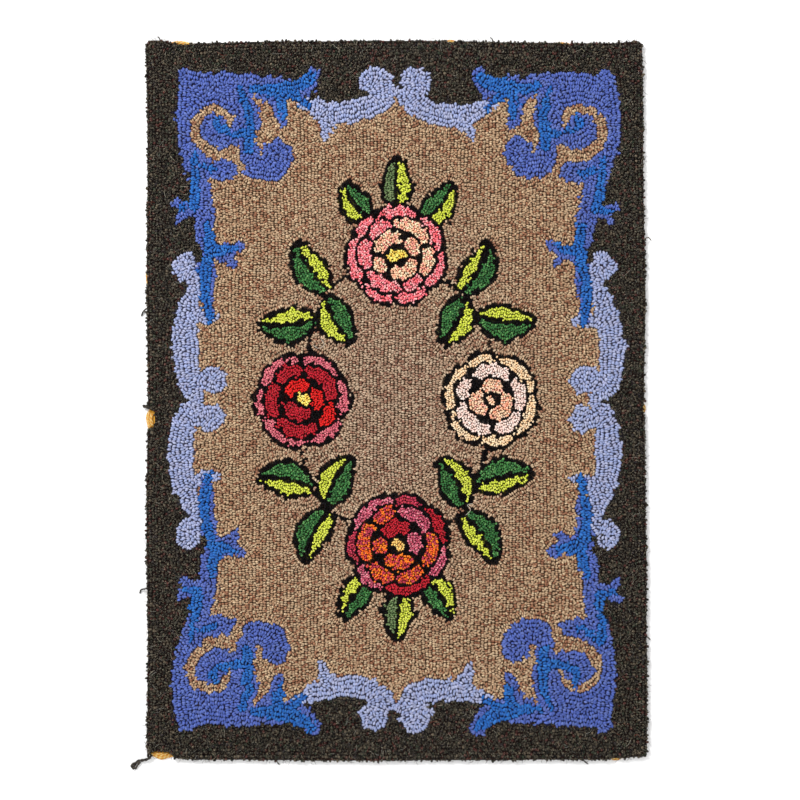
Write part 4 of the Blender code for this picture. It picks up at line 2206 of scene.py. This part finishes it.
@dataclass
class Pile:
    """The hooked pile: every loop of the rug, in pieces by colour and place.

    Attributes:
        ground: the chart's ground.
        foot: the height of the loops' feet inside the mat.
        edge_foot: the height of the feet at the rug's very edge.
        edge_reach: how far in from the edge the loops lean outwards.
        edge_lean: how far the outermost loops lean, in degrees.
        edge_drop: how much lower they are.
        edge_push: how far they are pushed inwards.
        edge_stray: how far they stray from that.
        size_stray: how much loops differ in size, as a share.
        grey_middle: how much greyer the worn middle of the field is.
        frame_waves: how far the scrolls' edges wander, the shortest wave and the longest.
        waves: the same for all edges.
    """

    ground: Ground
    foot: float = 3.6 * MM
    edge_foot: float = 1.2 * MM
    edge_reach: float = 4.2 * MM
    edge_lean: float = 24.0
    edge_drop: float = 1.2 * MM
    edge_push: float = 1.1 * MM
    edge_stray: float = 0.7 * MM
    size_stray: float = 0.07
    grey_middle: float = 0.22
    frame_waves: tuple[float, float, float] = (0.8 * MM, 18 * MM, 40 * MM)
    waves: tuple[float, float, float] = (1.3 * MM, 6 * MM, 16 * MM)

    def hooked(self, rng: Rng) -> list[LoopSpot]:
        """Paints the chart and hooks it.

        Args:
            rng: the source of all small irregularities.

        Returns:
            The loops.
        """
        chart = self.ground.chart
        ScrollFrame().paint(chart)
        chart.wander(*self.frame_waves, rng)
        LeafWork().paint(chart)
        for rose in ROSES:
            rose.paint(chart)
        chart.wander(*self.waves, rng)
        hooker = Hooker(chart, rng)
        hooker.hook_all()
        return hooker.spots

    def toned(self, places: Array, yarns: Array, tones: Array) -> Array:
        """Ages the colours: the field turns greyer towards its middle.

        Args:
            places: the loops' places.
            yarns: their yarns.
            tones: their linear colours.

        Returns:
            The aged colours.
        """
        away = np.hypot(places[:, 0] / 0.17, places[:, 1] / 0.26)
        share = self.grey_middle * np.clip(1.25 - away, 0.0, 1.0) * (yarns == Yarn.TWEED)
        grey = tones.mean(axis=1, keepdims=True) * np.array((1.12, 0.93, 0.92))
        return tones + share[:, None] * (0.92 * grey - tones)

    def build(self, scatter: Scatter, finishes: FinishBook, rng: Rng) -> list[Piece]:
        """Builds the pieces of the pile.

        Args:
            scatter: sets the loops.
            finishes: the rug's finishes.
            rng: the source of all small irregularities.

        Returns:
            The pieces.
        """
        spots = self.hooked(rng)
        table = np.array([(s.x, s.y, s.across) for s in spots])
        yarns = np.array([s.yarn for s in spots])
        strands = np.array([s.strand for s in spots])
        tones = self.toned(table[:, :2], yarns, shades(yarns, strands, rng))
        under = self.ground.chart.under
        rise_y, rise_x = np.gradient(softened(self.ground.edge, 4))
        inward = np.arctan2(under(rise_y, table[:, :2]), under(rise_x, table[:, :2]))
        outer = under(self.ground.edge, table[:, :2]) / self.edge_reach
        outer = np.clip(1.0 - outer, 0.0, 1.0)
        half = np.abs(self.ground.pile.points).max(axis=0)
        pieces = []
        for name, patch, low, high in CUTS:
            hooking = patch.value
            share = table[:, :2] / half
            mine = np.array([PATCHES[int(yarn)] is patch for yarn in yarns])
            mine &= ((share >= low) & (share < high)).all(axis=1)
            count = int(mine.sum())
            across, out = table[mine, 2], outer[mine]
            tops = (hooking.top - hooking.dip * rng.random(count) ** 1.5) * MM
            tops -= self.edge_drop * out
            feet = self.foot - (self.foot - self.edge_foot) * np.sqrt(out)
            lean = np.radians(rng.normal(0.0, hooking.lean * 0.6, (count, 2)))
            tilt = np.radians(self.edge_lean) * out
            # An outward lean, told along the loop's own two axes.
            lean[:, 0] += tilt * np.sin(inward[mine] - across)
            lean[:, 1] -= tilt * np.cos(inward[mine] - across)
            push = self.edge_push * out - rng.normal(0.0, self.edge_stray, count) * out**2
            facing = np.column_stack([np.cos(inward[mine]), np.sin(inward[mine])])
            places = np.column_stack([table[mine, :2] + facing * push[:, None], feet])
            turns = np.column_stack([lean, across])
            sizes = np.column_stack([
                hooking.length * MM * rng.normal(1.0, self.size_stray, count),
                hooking.width * MM * rng.normal(1.0, self.size_stray, count),
                tops - feet,
            ])
            piece = scatter.lay(name, places, turns, sizes, tones[mine], rng)
            finishes.dress(piece, hooking.slot)
            pieces.append(piece)
        return pieces


@dataclass
class Hairs:
    """Stray fibres of other colours on the shaggy border, and a few on the field.

    Attributes:
        ground: the chart's ground.
        border: how many lie on the border.
        field_count: how many lie on the field.
        edge: how many stick out at the rug's edge.
        long: a fibre's usual length.
        thick: its thickness.
        edge_thick: the thickness of those at the edge.
        colours: the hex colours of those on top.
        darks: the hex colours of those at the edge.
    """

    ground: Ground
    border: int = 1500
    field_count: int = 90
    edge: int = 320
    long: float = 5.0 * MM
    thick: float = 0.26 * MM
    edge_thick: float = 0.42 * MM
    colours: tuple[str, ...] = (
        "c4b69c", "a2947c", "dcd4c0", "7e7260", "a04a3c", "b2b2a8", "8c7f6a", "6c785e",
        "141210", "1d1a18",
    )
    darks: tuple[str, ...] = ("1d1a18", "2a2622", "3a342e", "5c5144")

    def build(self, scatter: Scatter, finishes: FinishBook, rng: Rng) -> Piece:
        """Scatters the fibres on the tops of the loops.

        Args:
            scatter: sets the fibres.
            finishes: the rug's finishes.
            rng: the source of their places.

        Returns:
            The fibres, one piece.
        """
        chart = self.ground.chart
        spots = []
        for yarn, count in ((Yarn.CHARCOAL, self.border), (Yarn.TWEED, self.field_count)):
            rows, columns = np.nonzero(chart.yarns == int(yarn))
            picks = rng.choice(len(rows), count, replace=False)
            spots.append(chart.place(np.column_stack([columns[picks], rows[picks]])))
        line = smooth_path(self.ground.pile.points, 1.5 * MM, closed=True)
        way = np.gradient(line, axis=0)
        way /= np.linalg.norm(way, axis=1, keepdims=True)
        picks = rng.choice(len(line), self.edge, replace=False)
        out = np.column_stack([way[picks, 1], -way[picks, 0]])
        spots.append(line[picks] + out * rng.uniform(-0.6, 1.8, (self.edge, 1)) * MM)
        flat = np.vstack(spots)
        count = len(flat)
        heights = rng.uniform(7.5, 8.3, count) * MM
        heights[-self.edge :] = rng.uniform(2.0, 7.0, self.edge) * MM
        facing = np.arctan2(out[:, 1], out[:, 0]) + rng.normal(0.0, 0.8, self.edge)
        turns = np.column_stack([
            np.zeros(count), rng.normal(0.0, 0.12, count), rng.uniform(0.0, 2 * math.pi, count)
        ])
        turns[-self.edge :, 2] = facing
        thick = np.where(np.arange(count) < count - self.edge, self.thick, self.edge_thick)
        sizes = np.column_stack([self.long * rng.lognormal(0.0, 0.4, count), thick, thick])
        palette = np.array([linear(colour) for colour in self.colours])
        dark = np.array([linear(colour) for colour in self.darks])
        tones = palette[rng.integers(0, len(palette), count)]
        tones[-self.edge :] = dark[rng.integers(0, len(dark), self.edge)]
        hairs = scatter.lay(
            "stray_hairs", np.column_stack([flat, heights]), turns, sizes, tones, rng
        )
        finishes.dress(hairs, "border_wool")
        return hairs


# ---- studio


@dataclass
class Studio:
    """A plain pale floor, soft light, and a camera that looks straight down.

    Attributes:
        width_seen: how much of the floor's width the camera sees at the rug.
        lens: the camera's focal length, in mm.
        sensor: its sensor's width, in mm.
        aim: the place that it looks down on.
        floor_side: the floor's side.
        sky: the strength of the light from all round.
    """

    width_seen: float = 1.016
    lens: float = 85.0
    sensor: float = 36.0
    aim: tuple[float, float] = (0.0044, 0.0004)
    floor_side: float = 14.0
    sky: float = 1.0

    def build(self) -> None:
        """Builds the floor, the lights and the camera."""
        scene = bpy.context.scene
        bm = bmesh.new()
        bmesh.ops.create_grid(bm, x_segments=1, y_segments=1, size=self.floor_side / 2.0)
        floor = show("floor", bm)
        paint, _, shader = new_material("pale floor", 0.9)
        shader.inputs["Base Color"].default_value = (0.93, 0.93, 0.93, 1.0)
        floor.data.materials.append(paint)
        world = bpy.data.worlds.new("soft light")
        world.use_nodes = True
        world.node_tree.nodes["Background"].inputs["Color"].default_value = (1.0, 1.0, 1.0, 1.0)
        world.node_tree.nodes["Background"].inputs["Strength"].default_value = self.sky
        scene.world = world
        self.light("key", 100.0, (-1.7, 2.0, 2.4), 0.9)
        scene.view_settings.view_transform = "Standard"
        camera = bpy.data.objects.new("camera", bpy.data.cameras.new("camera"))
        camera.data.lens = self.lens
        camera.data.sensor_width = self.sensor
        height = self.width_seen * self.lens / self.sensor + 8.0 * MM
        camera.location = (*self.aim, height)
        scene.collection.objects.link(camera)
        scene.camera = camera

    def light(
        self, name: str, watts: float, place: tuple[float, float, float], side: float
    ) -> None:
        """Adds a square soft light that points at the rug.

        Args:
            name: its name.
            watts: its power.
            place: where it hangs.
            side: its side.
        """
        lamp = bpy.data.lights.new(name, "AREA")
        lamp.energy = watts
        lamp.size = side
        hung = bpy.data.objects.new(name, lamp)
        hung.location = place
        hung.rotation_euler = (-Vector(place)).to_track_quat("-Z", "Y").to_euler()
        bpy.context.scene.collection.objects.link(hung)


def ride_along(piece: Piece, node: str) -> None:
    """Ties a piece to the rug's body in place of a node, and reports it."""
    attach(piece, BODY)
    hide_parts(node)
    log.info("%s: %d faces", piece.name, len(piece.data.polygons))


def main() -> None:
    """Builds the rug and its studio."""
    logging.basicConfig(level=logging.INFO, format="%(message)s")
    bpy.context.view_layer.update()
    rng = np.random.default_rng(SEED)
    finishes = FinishBook()
    ground = Ground()
    pile = Pile(ground)
    for piece in pile.build(Scatter("loop forms", LOOP_FORMS), finishes, rng):
        ride_along(piece, PILE_NODE)
    mat = Mat(ground).build(finishes, rng)
    ride_along(mat, PILE_NODE)
    tails = YarnTails().build(finishes)
    ride_along(tails, PILE_NODE)
    hairs = Hairs(ground).build(Scatter("hair forms", HAIR_FORMS), finishes, rng)
    ride_along(hairs, PILE_NODE)
    cloth = Foundation(ground).build(finishes, rng)
    ride_along(cloth, FOUNDATION_NODE)
    threads = FoldThreads(ground).build(finishes, rng)
    ride_along(threads, FOUNDATION_NODE)
    Studio().build()


if __name__ == "__main__":
    main()
